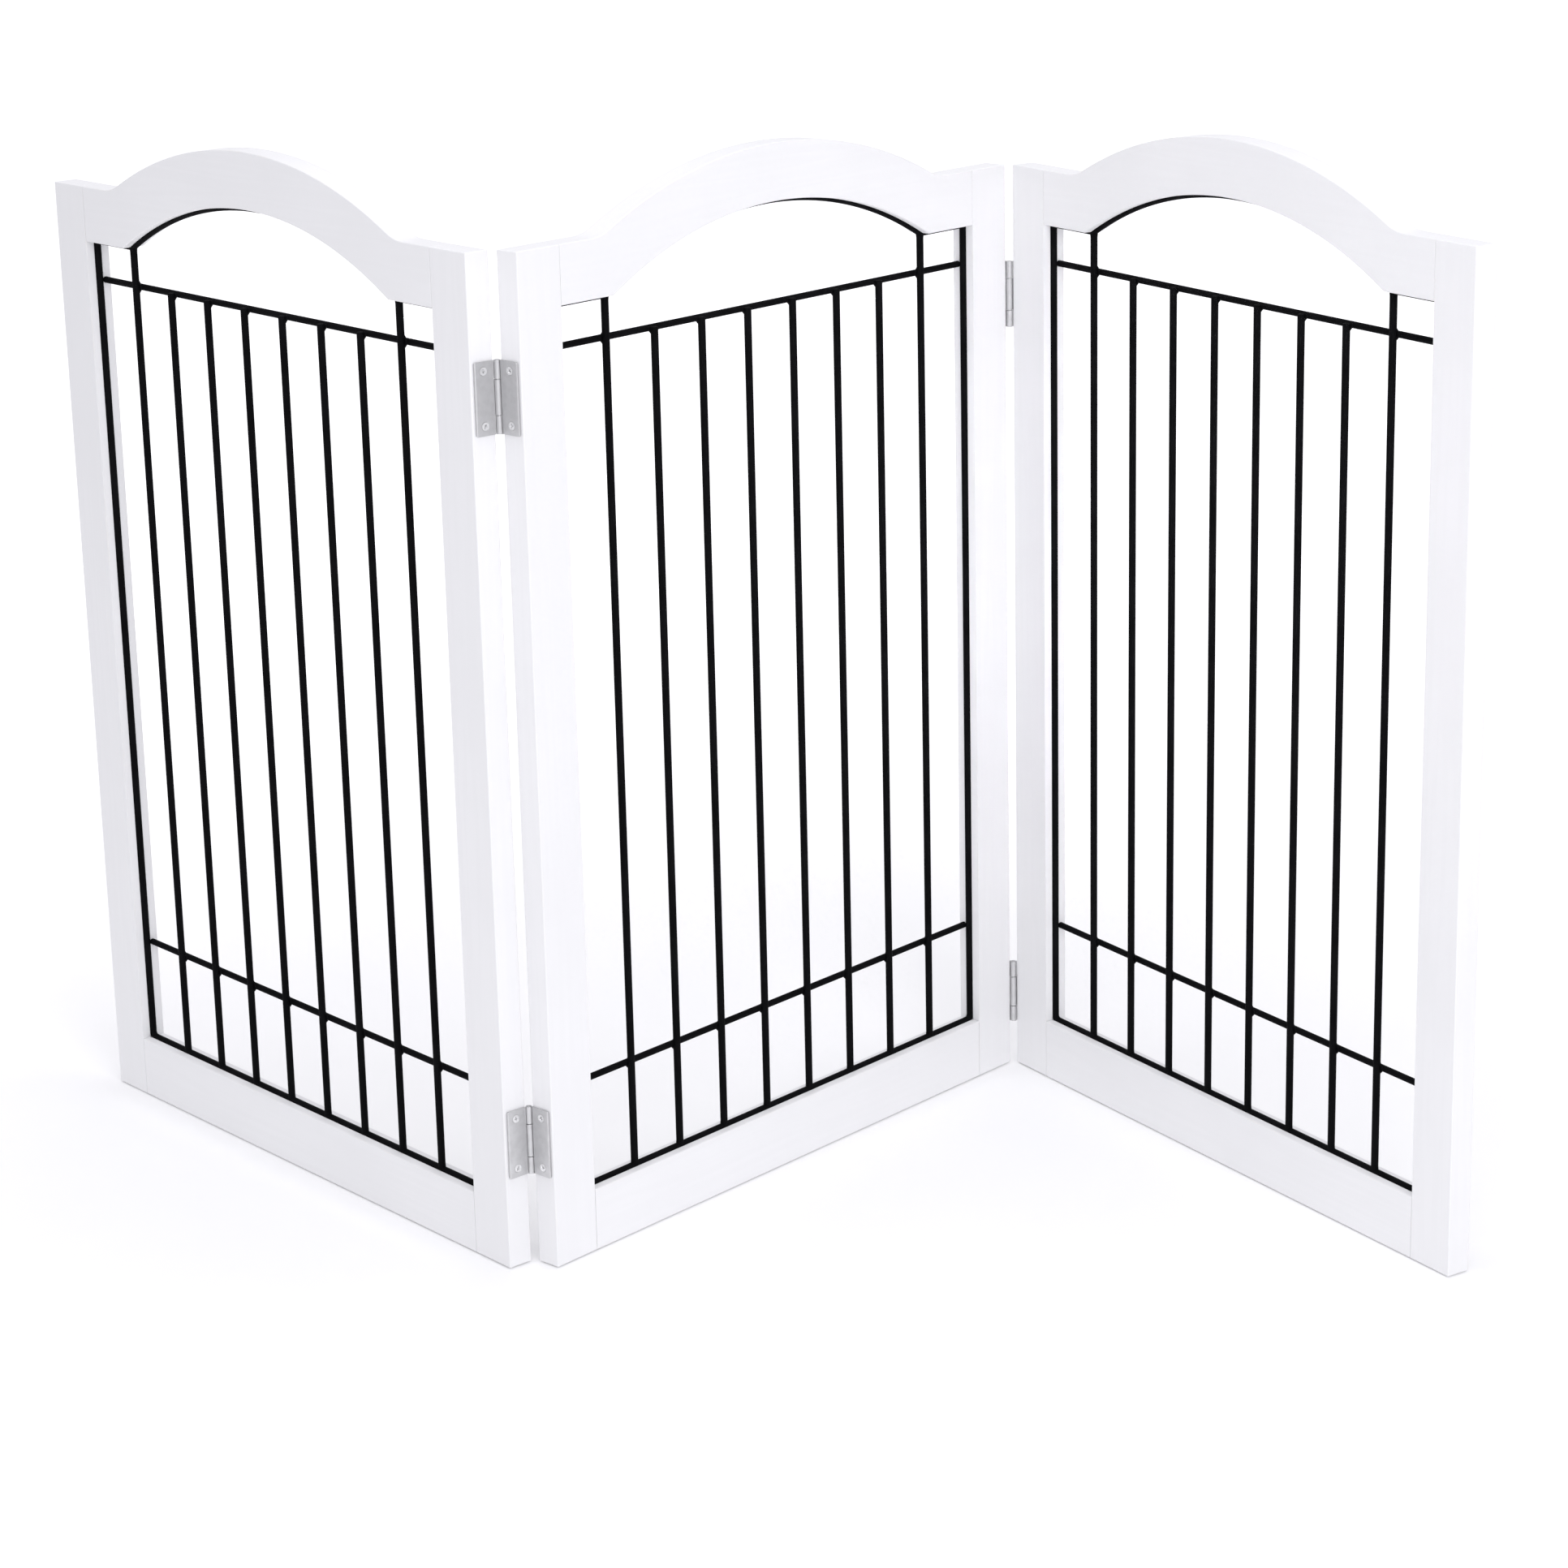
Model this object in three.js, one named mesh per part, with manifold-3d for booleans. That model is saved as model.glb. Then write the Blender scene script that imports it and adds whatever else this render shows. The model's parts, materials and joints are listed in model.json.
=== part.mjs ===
// Folding pet gate. Three arched timber frames, each with a welded wire grid held in a groove
// round its opening, are joined by two pairs of butt hinges, so that they stand in a Z.
// Millimetres, +Z up. The origin is the middle of the middle panel's underside, and that panel
// lies along X with its front face towards -Y. The left panel folds behind the middle one and
// the right panel folds in front of it.
import * as THREE from "three";
import { mergeVertices } from "three/addons/utils/BufferGeometryUtils.js";
import Module from "manifold-3d";

// Overall sizes of one panel.
const PANEL_WIDTH = 508;
const PANEL_HEIGHT = 762; // floor to the top of the arch
const ARCH_RISE = 44; // flat shoulders to the top of the arch
const THICKNESS = 19;

// Frame members.
const STILE_WIDTH = 39;
const BOTTOM_RAIL_HEIGHT = 46;
const TOP_RAIL_DEPTH = 41;
const SHOULDER_FLAT = 50; // flat underside between a stile and the start of the arch
const FILLET_RADIUS = 40; // hollow curve between a shoulder and the arch
const JOINT_GAP = 0.3; // glue line where a rail butts a stile

// Welded wire grid.
const RIM_WIRE = 5.4; // diameter of the wire bent round the opening
const BAR_WIRE = 5.4; // diameter of the upright bars
const CROSS_WIRE = 4.8; // diameter of the two cross wires
const BAR_COUNT = 8;
const UPPER_WIRE_DROP = 30; // from the top rail's underside to the upper cross wire
const LOWER_WIRE_RISE = 78; // from the bottom rail's top to the lower cross wire
const WELD_SINK = 0.8; // how far a weld sinks one wire into the next
const GROOVE_CLEARANCE = 0.3;
const OCTAGON_CHAMFER = 1 - Math.SQRT1_2; // share of the radius cut off a square section's corners

// Dowels that pin each rail to its stiles.
const DOWEL_DIAMETER = 8;
const DOWEL_LENGTH = 36;
const DOWEL_CLEARANCE = 0.3;

// Butt hinges.
const HINGE_HEIGHT = 50;
const UPPER_HINGE_DROP = 98; // from the shoulders down to the upper hinge's middle
const LEFT_LOWER_HINGE_RISE = 92; // from the floor up to the left lower hinge's middle
const RIGHT_LOWER_HINGE_RISE = 60;
const LEAF_THICKNESS = 1.4;
const LEAF_SEAT_GAP = 0.3; // between a leaf and the wood that it is screwed to
const LEAF_EDGE_SETBACK = 2.3; // bare wood between a leaf's free edge and the panel's face
const KNUCKLE_RADIUS = 2.4;
const KNUCKLE_GAP = 0.4;
const MIDDLE_KNUCKLE = 24; // height of the single knuckle, between the other leaf's two
const PIN_RADIUS = 1.2;
const PIN_CLEARANCE = 0.12;
const HALF_LEAF_GAP = 0.4; // from a leaf to the middle of the joint when the panels are in line
const CORNER_CLEARANCE = 0.3; // between a knuckle and the corner of the wood beside it

// Countersunk wood screws, two to a leaf.
const SCREW_INSET = 6.5; // screw to the leaf's upper or lower edge
const SCREW_LENGTH = 16;
const SHANK_RADIUS = 1.3;
const HEAD_RADIUS = 2.9;
const HEAD_HEIGHT = 1.2;
const SCREW_CLEARANCE = 0.3;

// How the gate stands: the angle between the middle panel and each side panel.
const LEFT_ANGLE = 83.6;
const RIGHT_ANGLE = 74.6;

const CUT_MARGIN = 1; // how far a cut starts outside the face that it goes into
const ARC_STEPS = 20;
const FILLET_STEPS = 5;
const WIRE_SIDES = 8;
const ROUND_SIDES = 12;

// Values that follow from the ones above.
const SHOULDER_HEIGHT = PANEL_HEIGHT - ARCH_RISE;
const OPENING_LEFT = STILE_WIDTH;
const OPENING_RIGHT = PANEL_WIDTH - STILE_WIDTH;
const OPENING_BOTTOM = BOTTOM_RAIL_HEIGHT;
const OPENING_SHOULDER = SHOULDER_HEIGHT - TOP_RAIL_DEPTH;
const MIDDLE_X = PANEL_WIDTH / 2;
const MIDDLE_Y = THICKNESS / 2;
const ARCH_HALF_SPAN = MIDDLE_X - OPENING_LEFT - SHOULDER_FLAT;
const INNER_RADIUS = (ARCH_HALF_SPAN ** 2 + ARCH_RISE ** 2) / (2 * ARCH_RISE);
const OUTER_RADIUS = INNER_RADIUS + TOP_RAIL_DEPTH;
const ARCH_CENTRE_Z = PANEL_HEIGHT - OUTER_RADIUS;
const UPPER_WIRE_Z = OPENING_SHOULDER - UPPER_WIRE_DROP;
const LOWER_WIRE_Z = OPENING_BOTTOM + LOWER_WIRE_RISE;
const SHOULDER_DOWEL_Z = SHOULDER_HEIGHT - TOP_RAIL_DEPTH / 2;
const BASE_DOWEL_Z = BOTTOM_RAIL_HEIGHT / 2;
const AXIS_FROM_END = LEAF_SEAT_GAP + LEAF_THICKNESS + HALF_LEAF_GAP;
const AXIS_FROM_CORNER = KNUCKLE_RADIUS + CORNER_CLEARANCE;
const AXIS_FROM_FACE = Math.sqrt(AXIS_FROM_CORNER ** 2 - AXIS_FROM_END ** 2);
const LEAF_BACK = AXIS_FROM_END - LEAF_SEAT_GAP; // hinge axis to a leaf's seat
const LEAF_FRONT = LEAF_BACK - LEAF_THICKNESS;
const SCREW_Y = -(AXIS_FROM_FACE + MIDDLE_Y); // screws stand at the middle of the thickness
const PILOT_DEPTH = SCREW_LENGTH - LEAF_THICKNESS - LEAF_SEAT_GAP + SCREW_CLEARANCE;
const SCREW_HEIGHTS = [SCREW_INSET - HINGE_HEIGHT / 2, HINGE_HEIGHT / 2 - SCREW_INSET];
const UPPER_HINGE_Z = SHOULDER_HEIGHT - UPPER_HINGE_DROP;
const HINGE_MIDDLES = {
  left: { upper: UPPER_HINGE_Z, lower: LEFT_LOWER_HINGE_RISE },
  right: { upper: UPPER_HINGE_Z, lower: RIGHT_LOWER_HINGE_RISE },
};

const MATERIALS = {
  paint: new THREE.MeshStandardMaterial({ color: 0xf1f1f3, roughness: 0.45, metalness: 0 }),
  wire: new THREE.MeshStandardMaterial({ color: 0x101012, roughness: 0.4, metalness: 0.2 }),
  steel: new THREE.MeshStandardMaterial({ color: 0xd4d5d7, roughness: 0.3, metalness: 1 }),
  screw: new THREE.MeshStandardMaterial({ color: 0xe7e8e9, roughness: 0.25, metalness: 1 }),
  beech: new THREE.MeshStandardMaterial({ color: 0xd2ab7c, roughness: 0.8, metalness: 0 }),
};

const manifold = await Module();
manifold.setup();

// Turns a closed geometry into a solid that can be joined and cut.
function solid(geometry) {
  geometry.deleteAttribute("normal");
  geometry.deleteAttribute("uv");
  const merged = mergeVertices(geometry, 1e-4);
  return new manifold.Manifold(
    new manifold.Mesh({
      numProp: 3,
      vertProperties: merged.attributes.position.array,
      triVerts: new Uint32Array(merged.index.array),
    }),
  );
}

// Turns a solid back into a named mesh.
function mesh(name, body, material) {
  const { numProp, numVert, vertProperties, triVerts } = body.getMesh();
  const positions = new Float32Array(numVert * 3);
  for (let i = 0; i < numVert; i++) {
    positions.set(vertProperties.subarray(i * numProp, i * numProp + 3), i * 3);
  }
  const geometry = new THREE.BufferGeometry();
  geometry.setAttribute("position", new THREE.BufferAttribute(positions, 3));
  geometry.setIndex(new THREE.BufferAttribute(triVerts, 1));
  geometry.computeVertexNormals();
  const made = new THREE.Mesh(geometry, material);
  made.name = name;
  return made;
}

// A box between two corners.
function box(low, high) {
  const size = high.map((value, i) => value - low[i]);
  const centre = high.map((value, i) => (value + low[i]) / 2);
  return solid(new THREE.BoxGeometry(...size).translate(...centre));
}

// A cone or cylinder from one end to the other along X, Y or Z.
function rod(axis, start, length, radius, sides, endRadius = radius) {
  const geometry = new THREE.CylinderGeometry(endRadius, radius, length, sides);
  geometry.rotateY(Math.PI / sides).translate(0, length / 2, 0);
  if (axis === "x") geometry.rotateZ(-Math.PI / 2);
  if (axis === "z") geometry.rotateX(Math.PI / 2);
  return solid(geometry.translate(...start));
}

// A plate cut to an outline of [x, z] points, from y = back to y = back + depth.
function plate(outline, back, depth, chamfer = 0) {
  const shape = new THREE.Shape(outline.map(([x, z]) => new THREE.Vector2(x, z)));
  return extrudeUpright(shape, back, depth, chamfer);
}

function extrudeUpright(shape, back, depth, chamfer) {
  const geometry = new THREE.ExtrudeGeometry(shape, {
    depth: depth - 2 * chamfer,
    bevelEnabled: chamfer > 0,
    bevelThickness: chamfer,
    bevelSize: chamfer,
    bevelOffset: -chamfer,
    bevelSegments: 1,
  });
  geometry.rotateX(Math.PI / 2).translate(0, back + depth - chamfer, 0);
  return solid(geometry);
}

// Points on a circle from one angle to another, both ends included.
function arc(centre, radius, from, to, steps) {
  return Array.from({ length: steps + 1 }, (_, i) => {
    const angle = from + ((to - from) * i) / steps;
    return [centre[0] + radius * Math.cos(angle), centre[1] + radius * Math.sin(angle)];
  });
}

// The arch of a given radius, from its left end to its right, where it meets a level line.
function archPoints(radius, level) {
  const end = Math.asin((level - ARCH_CENTRE_Z) / radius);
  return arc([MIDDLE_X, ARCH_CENTRE_Z], radius, Math.PI - end, end, ARC_STEPS);
}

// The outline of the opening, moved outwards into the frame by an offset.
function openingOutline(offset) {
  const left = OPENING_LEFT - offset;
  const right = OPENING_RIGHT + offset;
  const bottom = OPENING_BOTTOM - offset;
  const shoulder = OPENING_SHOULDER + offset;
  const arch = archPoints(INNER_RADIUS + offset, shoulder).reverse();
  return [[left, bottom], [right, bottom], [right, shoulder], ...arch, [left, shoulder]];
}

// The groove that holds the grid's rim, as a plate that fills the opening too.
function grooveCutter() {
  const depth = RIM_WIRE / 2 + GROOVE_CLEARANCE;
  const width = RIM_WIRE + 2 * GROOVE_CLEARANCE;
  return plate(openingOutline(depth), MIDDLE_Y - width / 2, width);
}

// The outline of the arched top rail: flat shoulders, hollow fillets and two concentric arcs.
function topRailOutline() {
  const left = OPENING_LEFT + JOINT_GAP;
  const right = OPENING_RIGHT - JOINT_GAP;
  const reach = OUTER_RADIUS + FILLET_RADIUS;
  const filletZ = SHOULDER_HEIGHT + FILLET_RADIUS;
  const tilt = Math.asin((filletZ - ARCH_CENTRE_Z) / reach);
  const filletX = reach * Math.cos(tilt);
  const leftFillet = [MIDDLE_X - filletX, filletZ];
  const rightFillet = [MIDDLE_X + filletX, filletZ];
  const down = -Math.PI / 2;
  return [
    [left, OPENING_SHOULDER],
    ...archPoints(INNER_RADIUS, OPENING_SHOULDER),
    [right, OPENING_SHOULDER],
    [right, SHOULDER_HEIGHT],
    ...arc(rightFillet, FILLET_RADIUS, down, tilt - Math.PI, FILLET_STEPS),
    ...arc([MIDDLE_X, ARCH_CENTRE_Z], OUTER_RADIUS, tilt, Math.PI - tilt, ARC_STEPS).slice(1, -1),
    ...arc(leftFillet, FILLET_RADIUS, -tilt, down, FILLET_STEPS),
    [left, SHOULDER_HEIGHT],
  ];
}

// A dowel's hole or the dowel itself, centred on the joint between a stile and a rail.
function dowelRod(jointX, z, clearance) {
  const length = DOWEL_LENGTH + 2 * clearance;
  const start = [jointX - length / 2, MIDDLE_Y, z];
  return rod("x", start, length, DOWEL_DIAMETER / 2 + clearance, ROUND_SIDES);
}

const DOWEL_JOINTS = { left: OPENING_LEFT, right: OPENING_RIGHT };
const DOWEL_ROWS = { top: SHOULDER_DOWEL_Z, bottom: BASE_DOWEL_Z };

function withDowelHoles(body, sides, rows) {
  for (const side of sides) {
    for (const row of rows) {
      body = body.subtract(dowelRod(DOWEL_JOINTS[side], DOWEL_ROWS[row], DOWEL_CLEARANCE));
    }
  }
  return body;
}

// A stile, with its groove and its dowel holes, and with the pilot holes for the hinge screws of
// the fold that it stands at, if any.
function stile(side, fold) {
  const x = side === "left" ? 0 : OPENING_RIGHT;
  let body = box([x, 0, 0], [x + STILE_WIDTH, THICKNESS, SHOULDER_HEIGHT]);
  body = withDowelHoles(body.subtract(grooveCutter()), [side], ["top", "bottom"]);
  if (!fold) return body;
  const start = side === "left" ? -CUT_MARGIN : PANEL_WIDTH - PILOT_DEPTH;
  const radius = SHANK_RADIUS + SCREW_CLEARANCE;
  for (const middle of Object.values(HINGE_MIDDLES[fold])) {
    for (const z of SCREW_HEIGHTS) {
      const place = [start, MIDDLE_Y, middle + z];
      body = body.subtract(rod("x", place, PILOT_DEPTH + CUT_MARGIN, radius, WIRE_SIDES));
    }
  }
  return body;
}

function bottomRail() {
  const low = [OPENING_LEFT + JOINT_GAP, 0, 0];
  const high = [OPENING_RIGHT - JOINT_GAP, THICKNESS, BOTTOM_RAIL_HEIGHT];
  return withDowelHoles(box(low, high).subtract(grooveCutter()), ["left", "right"], ["bottom"]);
}

function topRail() {
  const blank = plate(topRailOutline(), 0, THICKNESS);
  return withDowelHoles(blank.subtract(grooveCutter()), ["left", "right"], ["top"]);
}

// The wire that is bent round the opening, half of it inside the groove.
function rimWire() {
  const half = RIM_WIRE / 2;
  const toVectors = (points) => points.map(([x, z]) => new THREE.Vector2(x, z));
  const shape = new THREE.Shape(toVectors(openingOutline(half)));
  shape.holes.push(new THREE.Path(toVectors(openingOutline(-half))));
  return extrudeUpright(shape, MIDDLE_Y - half, RIM_WIRE, half * OCTAGON_CHAMFER * 2);
}

// The whole grid: the rim, the upright bars, and behind them the two cross wires. The first and
// last bars reach the arch's springing, and the others stop at the upper cross wire.
function wireGrid() {
  const barRadius = BAR_WIRE / 2;
  const crossRadius = CROSS_WIRE / 2;
  const barY = MIDDLE_Y;
  const crossY = barY + barRadius + crossRadius - WELD_SINK;
  let body = rimWire();
  for (let i = 0; i < BAR_COUNT; i++) {
    const x = MIDDLE_X - ARCH_HALF_SPAN + (2 * ARCH_HALF_SPAN * i) / (BAR_COUNT - 1);
    const tall = i === 0 || i === BAR_COUNT - 1;
    const top = tall ? OPENING_SHOULDER : UPPER_WIRE_Z + crossRadius / 2;
    const start = [x, barY, OPENING_BOTTOM];
    body = body.add(rod("z", start, top - OPENING_BOTTOM, barRadius, WIRE_SIDES));
  }
  for (const z of [UPPER_WIRE_Z, LOWER_WIRE_Z]) {
    const start = [OPENING_LEFT + WELD_SINK, crossY, z];
    const length = OPENING_RIGHT - OPENING_LEFT - 2 * WELD_SINK;
    body = body.add(rod("x", start, length, crossRadius, WIRE_SIDES));
  }
  return body;
}

// The heights of a leaf's knuckles, measured from the hinge's middle.
function knuckleSpans(kind) {
  const inner = MIDDLE_KNUCKLE / 2;
  const outer = inner + KNUCKLE_GAP;
  const end = HINGE_HEIGHT / 2;
  return kind === "single" ? [[-inner, inner]] : [[-end, -outer], [outer, end]];
}

// A countersunk screw along +X, its head's face at x = 0, or the space that it needs.
function screwAlongX(clearance) {
  const headRadius = HEAD_RADIUS + clearance;
  const shankRadius = SHANK_RADIUS + clearance;
  const headHeight = HEAD_HEIGHT + clearance;
  const head = rod("x", [0, 0, 0], headHeight, headRadius, ROUND_SIDES, shankRadius);
  return head.add(rod("x", [0, 0, 0], SCREW_LENGTH, shankRadius, WIRE_SIDES));
}

// A hinge leaf in the hinge's own frame: the pin stands on Z at the origin, and the plate lies
// on the side +X of the axis, towards -Y.
function hingeLeaf(kind) {
  const edge = -(AXIS_FROM_FACE + THICKNESS - LEAF_EDGE_SETBACK);
  const notch = -(KNUCKLE_RADIUS + KNUCKLE_GAP);
  const half = HINGE_HEIGHT / 2;
  const boreRadius = PIN_RADIUS + PIN_CLEARANCE;
  let leaf = box([LEAF_FRONT, edge, -half], [LEAF_BACK, notch, half]);
  for (const [low, high] of knuckleSpans(kind)) {
    leaf = leaf.add(box([LEAF_FRONT, notch - CUT_MARGIN, low], [LEAF_BACK, 0, high]));
    leaf = leaf.add(rod("z", [0, 0, low], high - low, KNUCKLE_RADIUS, ROUND_SIDES));
  }
  leaf = leaf.subtract(rod("z", [0, 0, -HINGE_HEIGHT], 2 * HINGE_HEIGHT, boreRadius, ROUND_SIDES));
  for (const z of SCREW_HEIGHTS) {
    leaf = leaf.subtract(screwAlongX(SCREW_CLEARANCE / 2).translate([LEAF_FRONT, SCREW_Y, z]));
  }
  return leaf;
}

// One leaf with its two screws, placed at a hinge's height. flipX and flipY turn it by half a
// turn, so that the plate lies on the other side of the axis.
function leafGroup(name, kind, height, flipX, flipY) {
  const group = new THREE.Group();
  group.add(mesh(`${name}_leaf`, hingeLeaf(kind), MATERIALS.steel));
  SCREW_HEIGHTS.forEach((z, i) => {
    const screw = screwAlongX(0).translate([LEAF_FRONT, SCREW_Y, z]);
    group.add(mesh(`${name}_screw_${i + 1}`, screw, MATERIALS.screw));
  });
  group.position.z = height;
  if (flipX && flipY) group.rotation.z = Math.PI;
  else if (flipX) group.rotation.y = Math.PI;
  else if (flipY) group.rotation.x = Math.PI;
  return group;
}

function hingePin(name, height) {
  const body = rod("z", [0, 0, -HINGE_HEIGHT / 2], HINGE_HEIGHT, PIN_RADIUS, ROUND_SIDES);
  const pin = mesh(`${name}_pin`, body, MATERIALS.steel);
  pin.position.z = height;
  return pin;
}

// One panel in its own frame: its front lower left corner is the origin, and it runs along +X.
// folds names the fold at each hinged end.
function panel(name, folds) {
  const group = new THREE.Group();
  for (const side of ["left", "right"]) {
    const body = stile(side, folds[side]);
    group.add(mesh(`${name}_${side}_stile`, body, MATERIALS.paint));
    for (const [row, z] of Object.entries(DOWEL_ROWS)) {
      const dowel = dowelRod(DOWEL_JOINTS[side], z, 0);
      group.add(mesh(`${name}_${row}_${side}_dowel`, dowel, MATERIALS.beech));
    }
  }
  group.add(mesh(`${name}_bottom_rail`, bottomRail(), MATERIALS.paint));
  group.add(mesh(`${name}_top_rail`, topRail(), MATERIALS.paint));
  group.add(mesh(`${name}_wire_grid`, wireGrid(), MATERIALS.wire));
  return group;
}

// Where each side panel hangs: the hinge axis in the middle panel's frame and in its own, and
// the face that the axis stands at. The left panel's axis stands behind, the right one's in front.
const BEHIND = THICKNESS + AXIS_FROM_FACE;
const IN_FRONT = -AXIS_FROM_FACE;
const PAST_LEFT_END = -AXIS_FROM_END;
const PAST_RIGHT_END = PANEL_WIDTH + AXIS_FROM_END;
const SIDE_PANELS = [
  { name: "left", ownEnd: "right", angle: LEFT_ANGLE, axisX: PAST_LEFT_END, ownX: PAST_RIGHT_END,
    axisY: BEHIND },
  { name: "right", ownEnd: "left", angle: RIGHT_ANGLE, axisX: PAST_RIGHT_END, ownX: PAST_LEFT_END,
    axisY: IN_FRONT },
];

// Hangs a side panel on the middle one. Each hinge has its two-knuckle leaf and its pin on the
// middle panel, and its one-knuckle leaf on the side panel.
function hang(middle, { name, ownEnd, angle, axisX, ownX, axisY }) {
  const axis = new THREE.Group();
  axis.position.set(axisX, axisY, 0);
  const swing = new THREE.Group();
  swing.rotation.z = THREE.MathUtils.degToRad(angle - 180);
  const side = panel(name, { [ownEnd]: name });
  side.position.set(-ownX, -axisY, 0);
  swing.add(side);
  const atRightEnd = axisX > 0;
  const inFront = axisY < 0;
  for (const [row, height] of Object.entries(HINGE_MIDDLES[name])) {
    const hinge = `${name}_${row}_hinge`;
    axis.add(leafGroup(`${hinge}_fixed`, "double", height, atRightEnd, inFront));
    axis.add(hingePin(hinge, height));
    swing.add(leafGroup(`${hinge}_swing`, "single", height, !atRightEnd, inFront));
  }
  axis.add(swing);
  middle.add(axis);
}

const gate = new THREE.Group();
const middle = panel("middle", { left: "left", right: "right" });
middle.position.set(-MIDDLE_X, -MIDDLE_Y, 0);
SIDE_PANELS.forEach((place) => hang(middle, place));
gate.add(middle);

export default gate;
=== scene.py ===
"""Folding pet gate: the finished look of its three arched panels, wire grids and butt hinges.

Everything is in metres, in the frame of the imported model: +Z up, the middle panel along X with its
front towards -Y. Each piece is modelled once in the frame of its own sub-assembly, and a copy of it
is then set into every place where the gate has one.
"""

import json
import logging
import math
from contextlib import contextmanager
from dataclasses import dataclass
from enum import Enum
from typing import Callable, Iterator, Optional, Sequence, Union

import bpy
from mathutils import Matrix, Vector


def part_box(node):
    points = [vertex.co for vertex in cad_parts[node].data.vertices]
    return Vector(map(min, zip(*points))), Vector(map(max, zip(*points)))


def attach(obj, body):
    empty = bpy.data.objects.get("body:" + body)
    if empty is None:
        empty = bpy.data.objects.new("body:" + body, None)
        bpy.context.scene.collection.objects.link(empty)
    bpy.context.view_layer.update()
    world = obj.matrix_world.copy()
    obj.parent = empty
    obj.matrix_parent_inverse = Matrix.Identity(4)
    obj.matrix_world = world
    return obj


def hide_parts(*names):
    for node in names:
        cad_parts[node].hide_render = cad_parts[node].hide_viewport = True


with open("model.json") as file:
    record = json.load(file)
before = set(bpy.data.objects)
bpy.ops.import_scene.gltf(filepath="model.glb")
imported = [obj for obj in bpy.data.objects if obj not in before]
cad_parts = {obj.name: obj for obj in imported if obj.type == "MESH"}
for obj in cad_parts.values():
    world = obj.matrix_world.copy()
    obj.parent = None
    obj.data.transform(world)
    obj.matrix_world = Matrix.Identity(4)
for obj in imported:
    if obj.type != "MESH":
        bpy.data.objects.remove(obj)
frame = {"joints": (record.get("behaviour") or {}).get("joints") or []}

MM = 0.001
LOG = logging.getLogger("pet_gate")
Piece = bpy.types.Object
Socket = bpy.types.NodeSocket
Feed = Union[Socket, float, Sequence[float]]


class Finish(Enum):
    """The record's material slots, one for each finish on the gate."""

    PAINT = "white_paint"
    WIRE = "black_wire"
    HINGE = "zinc_hinge"
    SCREW = "zinc_screw"
    DOWEL = "beech_dowel"


class Pick(Enum):
    """What a selection takes: points, edges or faces."""

    POINTS = (True, False, False)
    EDGES = (False, True, False)
    FACES = (False, False, True)


class Axis(Enum):
    """A direction to lay a round bar along, as the turn that takes +Z there."""

    X = (0.0, math.pi / 2, 0.0)
    Y = (-math.pi / 2, 0.0, 0.0)
    Z = (0.0, 0.0, 0.0)


# The bench: selecting, cutting and finishing meshes.


@dataclass(frozen=True)
class Edge:
    """An edge as a selection test sees it: its two ends and the angle between its faces."""

    start: Vector
    end: Vector
    angle: float

    def both(self, test: Callable[[Vector], bool]) -> bool:
        """Returns True if both ends pass a test."""
        return test(self.start) and test(self.end)


def near(value: float, target: float, reach: float = 0.02 * MM) -> bool:
    """Returns True if a value lies within a short reach of a target."""
    return abs(value - target) < reach


def select_only(piece: Piece) -> None:
    """Makes one object the active one and the only one selected."""
    bpy.ops.object.select_all(action="DESELECT")
    piece.select_set(True)
    bpy.context.view_layer.objects.active = piece


def edges_of(mesh: bpy.types.Mesh) -> list[Edge]:
    """Measures a mesh's edges.

    Args:
        mesh: The mesh to read.

    Returns:
        One Edge for each of the mesh's edges, in their order.
    """
    normals: dict[int, list[Vector]] = {}
    for face in mesh.polygons:
        for loop in face.loop_indices:
            normals.setdefault(mesh.loops[loop].edge_index, []).append(face.normal)
    found = []
    for edge in mesh.edges:
        start, end = (mesh.vertices[i].co.copy() for i in edge.vertices)
        sides = normals.get(edge.index, [])
        angle = sides[0].angle(sides[1], 0.0) if len(sides) == 2 else 0.0
        found.append(Edge(start, end, angle))
    return found


def mark(mesh: bpy.types.Mesh, pick: Pick, test: Optional[Callable]) -> None:
    """Sets which elements of a mesh are selected.

    Args:
        mesh: The mesh to mark.
        pick: The kind of element.
        test: Called with a point, an Edge, or a face's centre and normal. None takes them all.
    """
    for elements in (mesh.vertices, mesh.edges, mesh.polygons):
        elements.foreach_set("select", [test is None] * len(elements))
    if test is None:
        return
    if pick is Pick.POINTS:
        for point in mesh.vertices:
            point.select = test(point.co)
    elif pick is Pick.EDGES:
        for edge, facts in zip(mesh.edges, edges_of(mesh)):
            if test(facts):
                edge.select = True
                for i in edge.vertices:
                    mesh.vertices[i].select = True
    else:
        for face in mesh.polygons:
            if test(face.center, face.normal):
                face.select = True
                for loop in face.loop_indices:
                    mesh.edges[mesh.loops[loop].edge_index].select = True
                    mesh.vertices[mesh.loops[loop].vertex_index].select = True


@contextmanager
def editing(piece: Piece, pick: Pick, test: Optional[Callable] = None) -> Iterator[None]:
    """Opens a piece in edit mode with the elements that pass a test selected.

    Args:
        piece: The mesh object to edit.
        pick: The kind of element to select.
        test: The test that mark() takes.
    """
    select_only(piece)
    bpy.context.tool_settings.mesh_select_mode = pick.value
    mark(piece.data, pick, test)
    bpy.ops.object.mode_set(mode="EDIT")
    yield
    bpy.ops.object.mode_set(mode="OBJECT")


def face_out(doubles: float = 0.0) -> None:
    """Selects all in edit mode, merges doubled points if asked, and turns the faces outwards."""
    bpy.ops.mesh.select_all(action="SELECT")
    if doubles:
        bpy.ops.mesh.remove_doubles(threshold=doubles)
    bpy.ops.mesh.normals_make_consistent(inside=False)


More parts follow.
